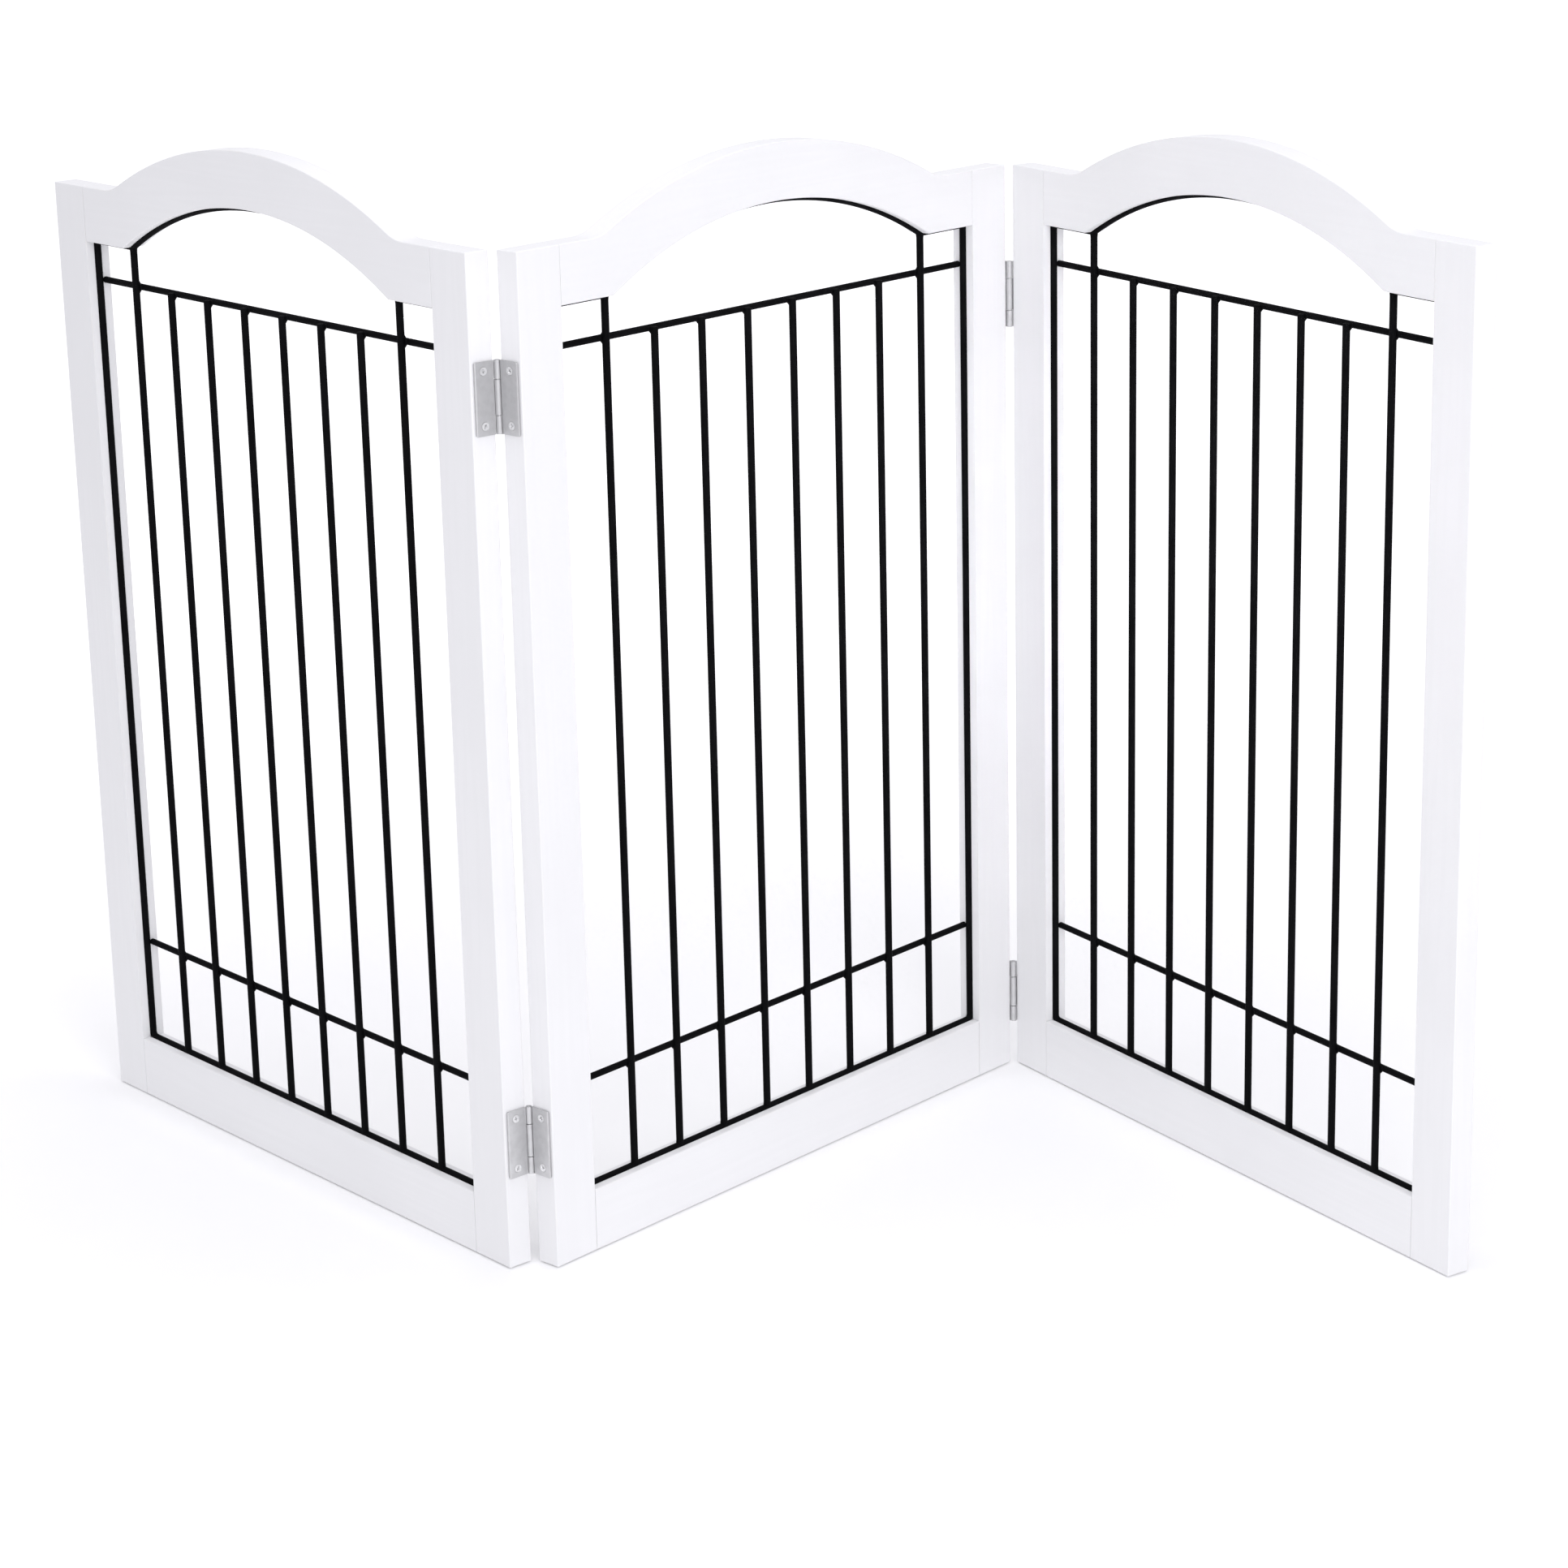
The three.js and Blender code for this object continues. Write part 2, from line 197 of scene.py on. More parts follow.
def new_primitive(name: str) -> Piece:
    """Names the primitive that was just added, and fixes its place into its mesh."""
    piece = bpy.context.object
    piece.name = name
    select_only(piece)
    bpy.ops.object.transform_apply(location=True, rotation=True, scale=True)
    return piece


def block(name: str, low: Sequence[float], high: Sequence[float]) -> Piece:
    """Adds a box between two corners.

    Args:
        name: The new object's name.
        low: The lowest corner.
        high: The highest corner.

    Returns:
        The new object.
    """
    corner, size = Vector(low), Vector(high) - Vector(low)
    bpy.ops.mesh.primitive_cube_add(size=1.0, location=corner + size / 2, scale=size)
    return new_primitive(name)


def cone(name: str, start: Sequence[float], axis: Axis, length: float, radii: Sequence[float],
         sides: int) -> Piece:
    """Adds a round bar or a cone from a point along an axis.

    Args:
        name: The new object's name.
        start: The middle of its first end.
        axis: The direction that it runs in.
        length: Its length.
        radii: Its radius at the first end and at the last.
        sides: How many sides it has.

    Returns:
        The new object.
    """
    way = {Axis.X: Vector((1, 0, 0)), Axis.Y: Vector((0, 1, 0)), Axis.Z: Vector((0, 0, 1))}[axis]
    bpy.ops.mesh.primitive_cone_add(
        vertices=sides, radius1=radii[0], radius2=radii[1], depth=length,
        location=Vector(start) + way * length / 2, rotation=axis.value,
    )
    return new_primitive(name)


def rod(name: str, start: Sequence[float], axis: Axis, length: float, radius: float, sides: int) -> Piece:
    """Adds a straight round rod from a point along an axis."""
    return cone(name, start, axis, length, (radius, radius), sides)


def combine(piece: Piece, others: Sequence[Piece], operation: str) -> None:
    """Joins solids to a piece or cuts them away, and uses them up.

    Args:
        piece: The piece that is kept.
        others: The solids that act on it, in order.
        operation: UNION or DIFFERENCE.
    """
    for other in others:
        modifier = piece.modifiers.new("combine", "BOOLEAN")
        modifier.operation = operation
        modifier.solver = "EXACT"
        modifier.object = other
        select_only(piece)
        bpy.ops.object.modifier_apply(modifier=modifier.name)
        bpy.data.objects.remove(other)


def cut(piece: Piece, *cutters: Piece) -> None:
    """Cuts each of some solids out of a piece."""
    combine(piece, cutters, "DIFFERENCE")


def weld(piece: Piece, *others: Piece) -> None:
    """Joins each of some solids to a piece as one closed skin."""
    combine(piece, others, "UNION")


def ease(piece: Piece, radius: float, test: Callable[[Edge], bool], segments: int = 3) -> None:
    """Rounds the edges that pass a test."""
    with editing(piece, Pick.EDGES, test):
        bpy.ops.mesh.bevel(offset=radius, segments=segments, affect="EDGES", profile=0.5)


def smooth(piece: Piece, degrees: float = 32.0) -> None:
    """Merges doubled points, turns the faces outwards and shades the shallower edges smooth."""
    with editing(piece, Pick.POINTS):
        face_out(0.002 * MM)
    select_only(piece)
    bpy.ops.object.shade_smooth_by_angle(angle=math.radians(degrees))
    level = piece.modifiers.new("level", "WEIGHTED_NORMAL")
    level.keep_sharp = True
    bpy.ops.object.modifier_apply(modifier=level.name)


def store(piece: Piece, name: str, rule: Callable[[Vector], Sequence[float]]) -> None:
    """Keeps a vector at each point of a piece, for its material to read.

    Args:
        piece: The piece.
        name: The attribute's name.
        rule: Gives the vector for a point.
    """
    values = [number for point in piece.data.vertices for number in rule(point.co)]
    attribute = piece.data.attributes.new(name, "FLOAT_VECTOR", "POINT")
    attribute.data.foreach_set("vector", values)


def swept(at: Vector, middle: Vector, angle: float, steps: int) -> Vector:
    """Spins the selection round a middle, anticlockwise in front view, and returns its new place."""
    bpy.ops.mesh.spin(steps=steps, angle=angle, center=middle, axis=(0, 1, 0))
    return middle + Matrix.Rotation(-angle, 3, "Y") @ (at - middle)


class Pen:
    """Draws an outline upright on a panel's face, as a chain of edges."""

    def __init__(self, name: str, x: float, z: float, y: float = 0.0) -> None:
        """Starts an outline at a point, and opens it in edit mode."""
        self.at = Vector((x, y, z))
        bpy.ops.mesh.primitive_plane_add(size=1.0 * MM, location=self.at)
        self.piece = new_primitive(name)
        bpy.context.tool_settings.mesh_select_mode = Pick.POINTS.value
        bpy.ops.object.mode_set(mode="EDIT")
        bpy.ops.mesh.select_all(action="SELECT")
        bpy.ops.mesh.merge(type="CENTER")

    def line(self, x: float, z: float, steps: int = 1) -> None:
        """Draws a straight line to a point in a number of equal steps."""
        end = Vector((x, self.at.y, z))
        move = {"value": (end - self.at) / steps}
        for _ in range(steps):
            bpy.ops.mesh.extrude_region_move(TRANSFORM_OT_translate=move)
        self.at = end

    def turn(self, centre: Sequence[float], angle: float, steps: int) -> None:
        """Draws an arc round a centre, anticlockwise in front view where the angle is positive."""
        self.at = swept(self.at, Vector((centre[0], self.at.y, centre[1])), angle, steps)

    def lift(self) -> Piece:
        """Closes edit mode and returns the outline."""
        bpy.ops.object.mode_set(mode="OBJECT")
        return self.piece

    def fill(self, depth: float) -> Piece:
        """Closes the outline, fills it and gives it a depth towards +Y."""
        bpy.ops.mesh.select_all(action="SELECT")
        bpy.ops.mesh.remove_doubles(threshold=0.01 * MM)
        bpy.ops.mesh.edge_face_add()
        bpy.ops.mesh.extrude_region_move(TRANSFORM_OT_translate={"value": (0, depth, 0)})
        face_out()
        return self.lift()


class WireBender:
    """Feeds and bends a round wire in the panel's plane, as a bending machine does."""

    def __init__(self, name: str, start: Vector, radius: float, sides: int) -> None:
        """Holds the wire's first end at a point, heading along +X, in edit mode."""
        self.at = start.copy()
        self.heading = 0.0
        bpy.ops.mesh.primitive_circle_add(
            vertices=sides, radius=radius, location=start, rotation=Axis.X.value,
        )
        self.piece = new_primitive(name)
        bpy.context.tool_settings.mesh_select_mode = Pick.EDGES.value
        bpy.ops.object.mode_set(mode="EDIT")
        bpy.ops.mesh.select_all(action="SELECT")

    def _way(self, turn: float = 0.0) -> Vector:
        """Returns the direction of the heading, turned by an angle."""
        angle = self.heading + turn
        return Vector((math.cos(angle), 0.0, math.sin(angle)))

    def feed(self, length: float) -> None:
        """Feeds a straight length."""
        move = self._way() * length
        bpy.ops.mesh.extrude_region_move(TRANSFORM_OT_translate={"value": move})
        self.at += move

    def bend(self, radius: float, angle: float, steps: int) -> None:
        """Bends the wire to a radius, to the left where the angle is positive."""
        side = math.copysign(math.pi / 2, angle)
        self.at = swept(self.at, self.at + self._way(side) * radius, angle, steps)
        self.heading += angle

    def close(self) -> Piece:
        """Joins the wire's last end to its first, and returns the ring."""
        face_out(0.02 * MM)
        bpy.ops.object.mode_set(mode="OBJECT")
        return self.piece


# Shader groups and finishes.


class Graph:
    """Adds nodes to a node tree and joins them."""

    def __init__(self, tree: bpy.types.NodeTree) -> None:
        """Starts with an empty tree."""
        self.tree = tree
        tree.nodes.clear()

    def node(self, kind: str, **settings: object) -> bpy.types.Node:
        """Adds a node and sets its properties."""
        made = self.tree.nodes.new(kind)
        for name, value in settings.items():
            setattr(made, name, value)
        return made

    def feed(self, socket: Socket, value: Feed) -> None:
        """Links a socket to another, or sets its own value."""
        if isinstance(value, bpy.types.NodeSocket):
            self.tree.links.new(value, socket)
        else:
            socket.default_value = value

    def maths(self, operation: str, *values: Feed) -> Socket:
        """Adds a Math node.

        Args:
            operation: The node's operation.
            values: Its inputs, in order.

        Returns:
            Its result.
        """
        made = self.node("ShaderNodeMath", operation=operation)
        for socket, value in zip(made.inputs, values):
            self.feed(socket, value)
        return made.outputs[0]

    def remap(self, value: Feed, low: float, high: float, to_low: Feed, to_high: Feed) -> Socket:
        """Takes a range of values smoothly to another range, and holds it there."""
        made = self.node("ShaderNodeMapRange", interpolation_type="SMOOTHSTEP")
        for name, given in zip(
            ("Value", "From Min", "From Max", "To Min", "To Max"),
            (value, low, high, to_low, to_high),
        ):
            self.feed(made.inputs[name], given)
        return made.outputs["Result"]

    def stretched(self, place: Feed, scale: Sequence[float]) -> Socket:
        """Scales a place by a different amount along each axis."""
        made = self.node("ShaderNodeMapping", vector_type="POINT")
        self.feed(made.inputs["Vector"], place)
        made.inputs["Scale"].default_value = scale
        return made.outputs["Vector"]

    def noise(self, place: Feed, scale: Feed, detail: float = 2.0) -> Socket:
        """Adds a noise and returns its value."""
        made = self.node("ShaderNodeTexNoise", noise_dimensions="3D")
        self.feed(made.inputs["Vector"], place)
        self.feed(made.inputs["Scale"], scale)
        made.inputs["Detail"].default_value = detail
        return made.outputs["Fac"]

    def blend(self, share: Feed, first: Feed, second: Feed) -> Socket:
        """Mixes two colours by a share."""
        made = self.node("ShaderNodeMix", data_type="RGBA")
        colours = [s for s in made.inputs if s.type == "RGBA"]
        self.feed(made.inputs[0], share)
        self.feed(colours[0], first)
        self.feed(colours[1], second)
        return next(s for s in made.outputs if s.type == "RGBA")


class Effect:
    """A shader node group that is built once and placed in each material that uses it."""

    name: str = ""
    takes: dict[str, object] = {}
    gives: tuple[str, ...] = ()

    def tree(self) -> bpy.types.NodeTree:
        """Builds the group the first time, and returns it."""
        found = bpy.data.node_groups.get(self.name)
        if found is not None:
            return found
        group = bpy.data.node_groups.new(self.name, "ShaderNodeTree")
        graph = Graph(group)
        for name, default in self.takes.items():
            kind = "NodeSocketFloat" if isinstance(default, float) else "NodeSocketVector"
            socket = group.interface.new_socket(name, in_out="INPUT", socket_type=kind)
            if isinstance(default, float):
                socket.default_value = default
        for name in self.gives:
            group.interface.new_socket(name, in_out="OUTPUT", socket_type="NodeSocketFloat")
        inputs, outputs = graph.node("NodeGroupInput"), graph.node("NodeGroupOutput")
        made = self.wire(graph, {s.name: s for s in inputs.outputs if s.name})
        for name, socket in zip(self.gives, made):
            graph.feed(outputs.inputs[name], socket)
        return group

    def wire(self, graph: Graph, given: dict[str, Socket]) -> tuple[Socket, ...]:
        """Joins the group's nodes.

        Args:
            graph: The group's graph.
            given: The group's inputs by name.

        Returns:
            One socket for each name in gives.
        """
        raise NotImplementedError

    def place(self, graph: Graph, **values: Feed) -> dict[str, Socket]:
        """Adds the group to a material.

        Args:
            graph: The material's graph.
            values: Inputs by name, with _ for each space.

        Returns:
            The group's outputs by name.
        """
        made = graph.node("ShaderNodeGroup", node_tree=self.tree())
        for name, value in values.items():
            graph.feed(made.inputs[name.replace("_", " ")], value)
        return {name: made.outputs[name] for name in self.gives}


class CoatRipple(Effect):
    """The fine ripple of a sprayed or baked coat, and the slow drift in its thickness."""

    name = "coat ripple"
    takes = {"Place": None, "Ripple Scale": 900.0, "Drift Scale": 14.0}
    gives = ("Height", "Drift")

    def wire(self, graph: Graph, given: dict[str, Socket]) -> tuple[Socket, ...]:
        """Joins the ripple's nodes."""
        ripple = graph.noise(given["Place"], given["Ripple Scale"], 2.0)
        drift = graph.noise(given["Place"], given["Drift Scale"], 3.0)
        return ripple, graph.remap(drift, 0.3, 0.7, 0.0, 1.0)


class TimberGrain(Effect):
    """Straight-grained timber: long fibres, growth bands and short pores along the first axis."""

    name = "timber grain"
    takes = {"Place": None, "Fibre Scale": 1.0}
    gives = ("Fibres", "Bands", "Pores")

    def wire(self, graph: Graph, given: dict[str, Socket]) -> tuple[Socket, ...]:
        """Joins the grain's nodes."""
        fibres = graph.noise(graph.stretched(given["Place"], (14, 900, 900)), given["Fibre Scale"], 3.0)
        slow = graph.noise(graph.stretched(given["Place"], (2.5, 60, 60)), given["Fibre Scale"], 2.0)
        bands = graph.maths("SINE", graph.maths("MULTIPLY", slow, 40.0))
        pores = graph.noise(graph.stretched(given["Place"], (120, 1500, 1500)), given["Fibre Scale"], 1.0)
        return fibres, graph.remap(bands, -1.0, 1.0, 0.0, 1.0), graph.remap(pores, 0.62, 0.72, 0.0, 1.0)


class ArrisWear(Effect):
    """How near a point on a squared member is to its arrises, broken up as real wear is."""

    name = "arris wear"
    takes = {"Room": None, "Half Thickness": 9.5 * MM, "Reach": 1.6 * MM}
    gives = ("Arris", "Worn")

    def wire(self, graph: Graph, given: dict[str, Socket]) -> tuple[Socket, ...]:
        """Joins the wear's nodes."""
        split = graph.node("ShaderNodeSeparateXYZ")
        graph.feed(split.inputs[0], given["Room"])
        across = graph.maths("MINIMUM", split.outputs["X"], split.outputs["Y"])
        depth = graph.maths("ABSOLUTE", split.outputs["Z"])
        through = graph.maths("SUBTRACT", given["Half Thickness"], depth)
        distance = graph.maths("MAXIMUM", across, through)
        share = graph.maths("DIVIDE", distance, given["Reach"])
        arris = graph.remap(share, 0.0, 1.0, 1.0, 0.0)
        place = graph.node("ShaderNodeTexCoord").outputs["Object"]
        breaks = graph.remap(graph.noise(place, 55.0, 4.0), 0.45, 0.72, 0.0, 1.0)
        return arris, graph.maths("MULTIPLY", arris, breaks)


class BrushedMetal(Effect):
    """Fine brushed lines up and down a plate, with the cloudy patches of zinc plating."""

    name = "brushed metal"
    takes = {"Place": None, "Line Scale": 1.0, "Cloud Scale": 160.0}
    gives = ("Lines", "Clouds")

    def wire(self, graph: Graph, given: dict[str, Socket]) -> tuple[Socket, ...]:
        """Joins the metal's nodes."""
        lines = graph.noise(graph.stretched(given["Place"], (3800, 3800, 130)), given["Line Scale"], 2.0)
        clouds = graph.noise(given["Place"], given["Cloud Scale"], 3.0)
        return lines, graph.remap(clouds, 0.35, 0.68, 0.0, 1.0)


def new_material(name: str) -> tuple[bpy.types.Material, Graph, bpy.types.Node]:
    """Makes a material, and returns it with its graph and its one Principled shader."""
    made = bpy.data.materials.new(name)
    made.use_nodes = True
    graph = Graph(made.node_tree)
    shader = graph.node("ShaderNodeBsdfPrincipled")
    output = graph.node("ShaderNodeOutputMaterial")
    graph.feed(output.inputs["Surface"], shader.outputs["BSDF"])
    return made, graph, shader


@dataclass(frozen=True)
class Coat:
    """A finish with one Principled shader, whose looks come from its own nodes.

    Attributes:
        slot: The record's slot.
        colour: The main colour.
        roughness: The lowest and the highest roughness.
        relief: The height of the finish's bump, in metres.
    """

    slot: Finish
    colour: tuple[float, float, float]
    roughness: tuple[float, float]
    relief: float

    def material(self) -> bpy.types.Material:
        """Builds the finish the first time, and returns its material."""
        name = self.slot.value + "_finish"
        found = bpy.data.materials.get(name)
        if found is None:
            found, graph, shader = new_material(name)
            self.wire(graph, shader)
        return found

    def rgba(self, lift: float = 1.0) -> tuple[float, float, float, float]:
        """Returns the colour, lighter or darker by a factor."""
        return (*(min(1.0, c * lift) for c in self.colour), 1.0)

    def bump(self, graph: Graph, shader: bpy.types.Node, height: Socket) -> None:
        """Joins a height to the shader's normal through a bump of the finish's relief."""
        made = graph.node("ShaderNodeBump")
        made.inputs["Distance"].default_value = self.relief
        graph.feed(made.inputs["Height"], height)
        graph.feed(shader.inputs["Normal"], made.outputs["Normal"])

    def place(self, graph: Graph, attribute: str = "") -> Socket:
        """Returns the object's coordinates, or a named attribute's vector."""
        if not attribute:
            return graph.node("ShaderNodeTexCoord").outputs["Object"]
        made = graph.node("ShaderNodeAttribute", attribute_name=attribute)
        return made.outputs["Vector"]

    def wire(self, graph: Graph, shader: bpy.types.Node) -> None:
        """Joins the finish's own nodes to its shader."""
        raise NotImplementedError


class WhitePaint(Coat):
    """Satin white paint on smooth timber: a faint grain below it and thinner paint on arrises."""

    def wire(self, graph: Graph, shader: bpy.types.Node) -> None:
        """Joins the paint's nodes."""
        coat = CoatRipple().place(graph, Place=self.place(graph), Ripple_Scale=520.0, Drift_Scale=9.0)
        grain = TimberGrain().place(graph, Place=self.place(graph, "timber_place"))
        wear = ArrisWear().place(graph, Room=self.place(graph, "arris_room"))
        drifted = graph.blend(coat["Drift"], self.rgba(), self.rgba(0.975))
        banded = graph.blend(graph.maths("MULTIPLY", grain["Bands"], 0.35), drifted, self.rgba(0.965))
        thin = graph.maths("MULTIPLY", wear["Worn"], 0.22)
        graph.feed(shader.inputs["Base Color"], graph.blend(thin, banded, (0.83, 0.79, 0.72, 1.0)))
        rough = graph.remap(grain["Fibres"], 0.3, 0.7, *self.roughness)
        polished = graph.maths("MULTIPLY", wear["Arris"], -0.06)
        graph.feed(shader.inputs["Roughness"], graph.maths("ADD", rough, polished))
        fine = graph.maths("MULTIPLY", grain["Fibres"], 0.45)
        height = graph.maths("MULTIPLY_ADD", coat["Height"], 0.8, fine)
        self.bump(graph, shader, graph.maths("MULTIPLY_ADD", grain["Pores"], -0.12, height))


class BlackPowder(Coat):
    """Satin black powder coat on steel wire, with its orange-peel ripple."""

    def wire(self, graph: Graph, shader: bpy.types.Node) -> None:
        """Joins the powder coat's nodes."""
        shader.inputs["Specular IOR Level"].default_value = 0.03
        coat = CoatRipple().place(graph, Place=self.place(graph), Ripple_Scale=1400.0, Drift_Scale=40.0)
        graph.feed(shader.inputs["Base Color"], graph.blend(coat["Drift"], self.rgba(), self.rgba(1.7)))
        graph.feed(shader.inputs["Roughness"], graph.remap(coat["Height"], 0.3, 0.7, *self.roughness))
        self.bump(graph, shader, coat["Height"])


class ZincPlate(Coat):
    """Zinc-plated steel, lightly brushed, with cloudy patches."""

    def wire(self, graph: Graph, shader: bpy.types.Node) -> None:
        """Joins the plating's nodes."""
        shader.inputs["Metallic"].default_value = 1.0
        metal = BrushedMetal().place(graph, Place=self.place(graph))
        clouded = graph.blend(metal["Clouds"], self.rgba(), self.rgba(0.93))
        streaked = graph.maths("MULTIPLY", metal["Lines"], 0.3)
        graph.feed(shader.inputs["Base Color"], graph.blend(streaked, clouded, self.rgba(1.1)))
        graph.feed(shader.inputs["Roughness"], graph.remap(metal["Clouds"], 0.0, 1.0, *self.roughness))
        self.bump(graph, shader, metal["Lines"])


class TurnedZinc(Coat):
    """Zinc on a turned screw head, painted lighter than the hinge's zinc as a painted highlight: fine
    rings round its axis, and plating clouds.
    """

    def wire(self, graph: Graph, shader: bpy.types.Node) -> None:
        """Joins the screw's nodes."""
        shader.inputs["Metallic"].default_value = 1.0
        split = graph.node("ShaderNodeSeparateXYZ")
        graph.feed(split.inputs[0], self.place(graph, "turned_place"))
        squares = [graph.maths("MULTIPLY", split.outputs[k], split.outputs[k]) for k in ("Y", "Z")]
        radius = graph.maths("SQRT", graph.maths("ADD", *squares))
        rings = graph.maths("SINE", graph.maths("MULTIPLY", radius, 2 * math.pi / (0.22 * MM)))
        metal = BrushedMetal().place(graph, Place=self.place(graph), Cloud_Scale=420.0)
        colour = graph.blend(metal["Clouds"], self.rgba(), self.rgba(0.84))
        graph.feed(shader.inputs["Base Color"], colour)
        graph.feed(shader.inputs["Roughness"], graph.remap(metal["Clouds"], 0.0, 1.0, *self.roughness))
        self.bump(graph, shader, rings)


class BareBeech(Coat):
    """Bare beech: close fibres with the short dark flecks of its rays."""

    def wire(self, graph: Graph, shader: bpy.types.Node) -> None:
        """Joins the beech's nodes."""
        grain = TimberGrain().place(graph, Place=self.place(graph, "timber_place"), Fibre_Scale=1.6)
        fibred = graph.blend(grain["Fibres"], self.rgba(0.88), self.rgba(1.1))
        flecked = graph.maths("MULTIPLY", grain["Pores"], 0.5)
        graph.feed(shader.inputs["Base Color"], graph.blend(flecked, fibred, self.rgba(0.62)))
        graph.feed(shader.inputs["Roughness"], graph.remap(grain["Bands"], 0.0, 1.0, *self.roughness))
        self.bump(graph, shader, grain["Fibres"])


FINISHES: dict[Finish, Coat] = {
    Finish.PAINT: WhitePaint(Finish.PAINT, (0.87, 0.87, 0.88), (0.40, 0.50), 0.02 * MM),
    Finish.WIRE: BlackPowder(Finish.WIRE, (0.003, 0.003, 0.0035), (0.54, 0.64), 0.02 * MM),
    Finish.HINGE: ZincPlate(Finish.HINGE, (0.64, 0.64, 0.645), (0.34, 0.44), 0.004 * MM),
    # The screws' zinc is painted lighter than the hinge's, a painted highlight in place of the one that
    # their heads catch.
    Finish.SCREW: TurnedZinc(Finish.SCREW, (0.93, 0.93, 0.935), (0.34, 0.44), 0.004 * MM),
    Finish.DOWEL: BareBeech(Finish.DOWEL, (0.65, 0.43, 0.24), (0.68, 0.82), 0.05 * MM),
}


def dress(piece: Piece, finish: Finish) -> Piece:
    """Gives a model its finish, in place of any that it has."""
    piece.data.materials.clear()
    piece.data.materials.append(FINISHES[finish].material())
    return piece


def install(model: Piece, name: str, place: Matrix, body: str, node: str, finish: Finish) -> Piece:
    """Sets a copy of a model in the gate, on its body and in the stead of its frame node.

    Args:
        model: The finished model, in its sub-assembly's frame.
        name: The new piece's name.
        place: The sub-assembly's frame in the gate.
        body: The body that it moves with.
        node: The frame node that it stands for.
        finish: Its finish, which names its slot.

    Returns:
        The new piece.
    """
    piece = model.copy()
    piece.data = model.data.copy()
    piece.name = name
    piece.data.name = name
    bpy.context.scene.collection.objects.link(piece)
    piece.data.transform(place)
    dress(piece, finish)
    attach(piece, body)
    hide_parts(node)
    LOG.info("%s: %d faces, on %s", name, len(piece.data.polygons), body)
    return piece


# Sizes that come from the frame.


@dataclass(frozen=True)
class PanelSizes:
    """One panel's sizes, in its own frame: its front lower left corner is the origin.

    Attributes:
        width: Its whole width.
        thickness: Its timber's thickness.
        shoulder: The height of the stiles and of the top rail's flat ends.
        stile: The width of a stile.
        base: The height of the bottom rail.
        underside: The height of the top rail's underside at its ends.
        rise: How far the arch rises above the shoulders.
        corner: The middle panel's own corner in the frame.
    """

    width: float
    thickness: float
    shoulder: float
    stile: float
    base: float
    underside: float
    rise: float
    corner: Vector

    @classmethod
    def from_frame(cls) -> "PanelSizes":
        """Reads the sizes off the middle panel, which stands square in the frame."""
        corner, stile_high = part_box("middle_left_stile")
        _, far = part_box("middle_right_stile")
        rail_low, rail_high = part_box("middle_top_rail")
        _, base_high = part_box("middle_bottom_rail")
        return cls(
            width=far.x - corner.x,
            thickness=far.y - corner.y,
            shoulder=far.z,
            stile=stile_high.x - corner.x,
            base=base_high.z,
            underside=rail_low.z,
            rise=rail_high.z - far.z,
            corner=corner,
        )

    @property
    def middle(self) -> float:
        """Half the width."""
        return self.width / 2

    @property
    def depth(self) -> float:
        """The depth of the top rail."""
        return self.shoulder - self.underside


@dataclass(frozen=True)
class Arch:
    """The two concentric arcs of the top rail, and the hollow fillets at its shoulders."""

    sizes: PanelSizes
    shoulder_flat: float = 50 * MM
    outer_fillet: float = 40 * MM

    @property
    def half_span(self) -> float:
        """Half the width of the arch where it springs from the shoulders' underside."""
        return self.sizes.middle - self.sizes.stile - self.shoulder_flat

    @property
    def inner(self) -> float:
        """The radius of the underside."""
        return (self.half_span**2 + self.sizes.rise**2) / (2 * self.sizes.rise)

    @property
    def outer(self) -> float:
        """The radius of the top."""
        return self.inner + self.sizes.depth

    @property
    def centre(self) -> tuple[float, float]:
        """The arcs' centre."""
        return self.sizes.middle, self.sizes.underside + self.sizes.rise - self.inner

    def end(self, radius: float, level: float) -> float:
        """The angle at which an arc meets a level line."""
        return math.asin((level - self.centre[1]) / radius)

    def fillet(self, radius: float, level: float, hollow: float) -> tuple[float, float]:
        """Finds the fillet that leads from a level line up to an arc.

        Args:
            radius: The arc's radius.
            level: The line's height.
            hollow: The fillet's radius.

        Returns:
            The distance of the fillet's centre from the middle, and the angle at the arc's centre.
        """
        angle = math.asin((level + hollow - self.centre[1]) / (radius + hollow))
        return (radius + hollow) * math.cos(angle), angle

    def rooms(self, point: Vector) -> tuple[float, float]:
        """Returns how far a point of the top rail is from its underside and from its top."""
        sizes = self.sizes
        aside, (_, low) = abs(point.x - sizes.middle), self.centre
        reach, angle = self.fillet(self.outer, sizes.shoulder, self.outer_fillet)
        turn = math.hypot(aside, point.z - low)
        if aside <= self.outer * math.cos(angle):
            top = self.outer - turn
        elif aside <= reach:
            level = sizes.shoulder + self.outer_fillet
            top = math.hypot(aside - reach, point.z - level) - self.outer_fillet
        else:
            top = sizes.shoulder - point.z
        under = turn - self.inner if aside < self.half_span else point.z - sizes.underside
        return max(under, 0.0), max(top, 0.0)


@dataclass(frozen=True)
class Stand:
    """One panel's place in the gate."""

    name: str
    body: str
    place: Matrix


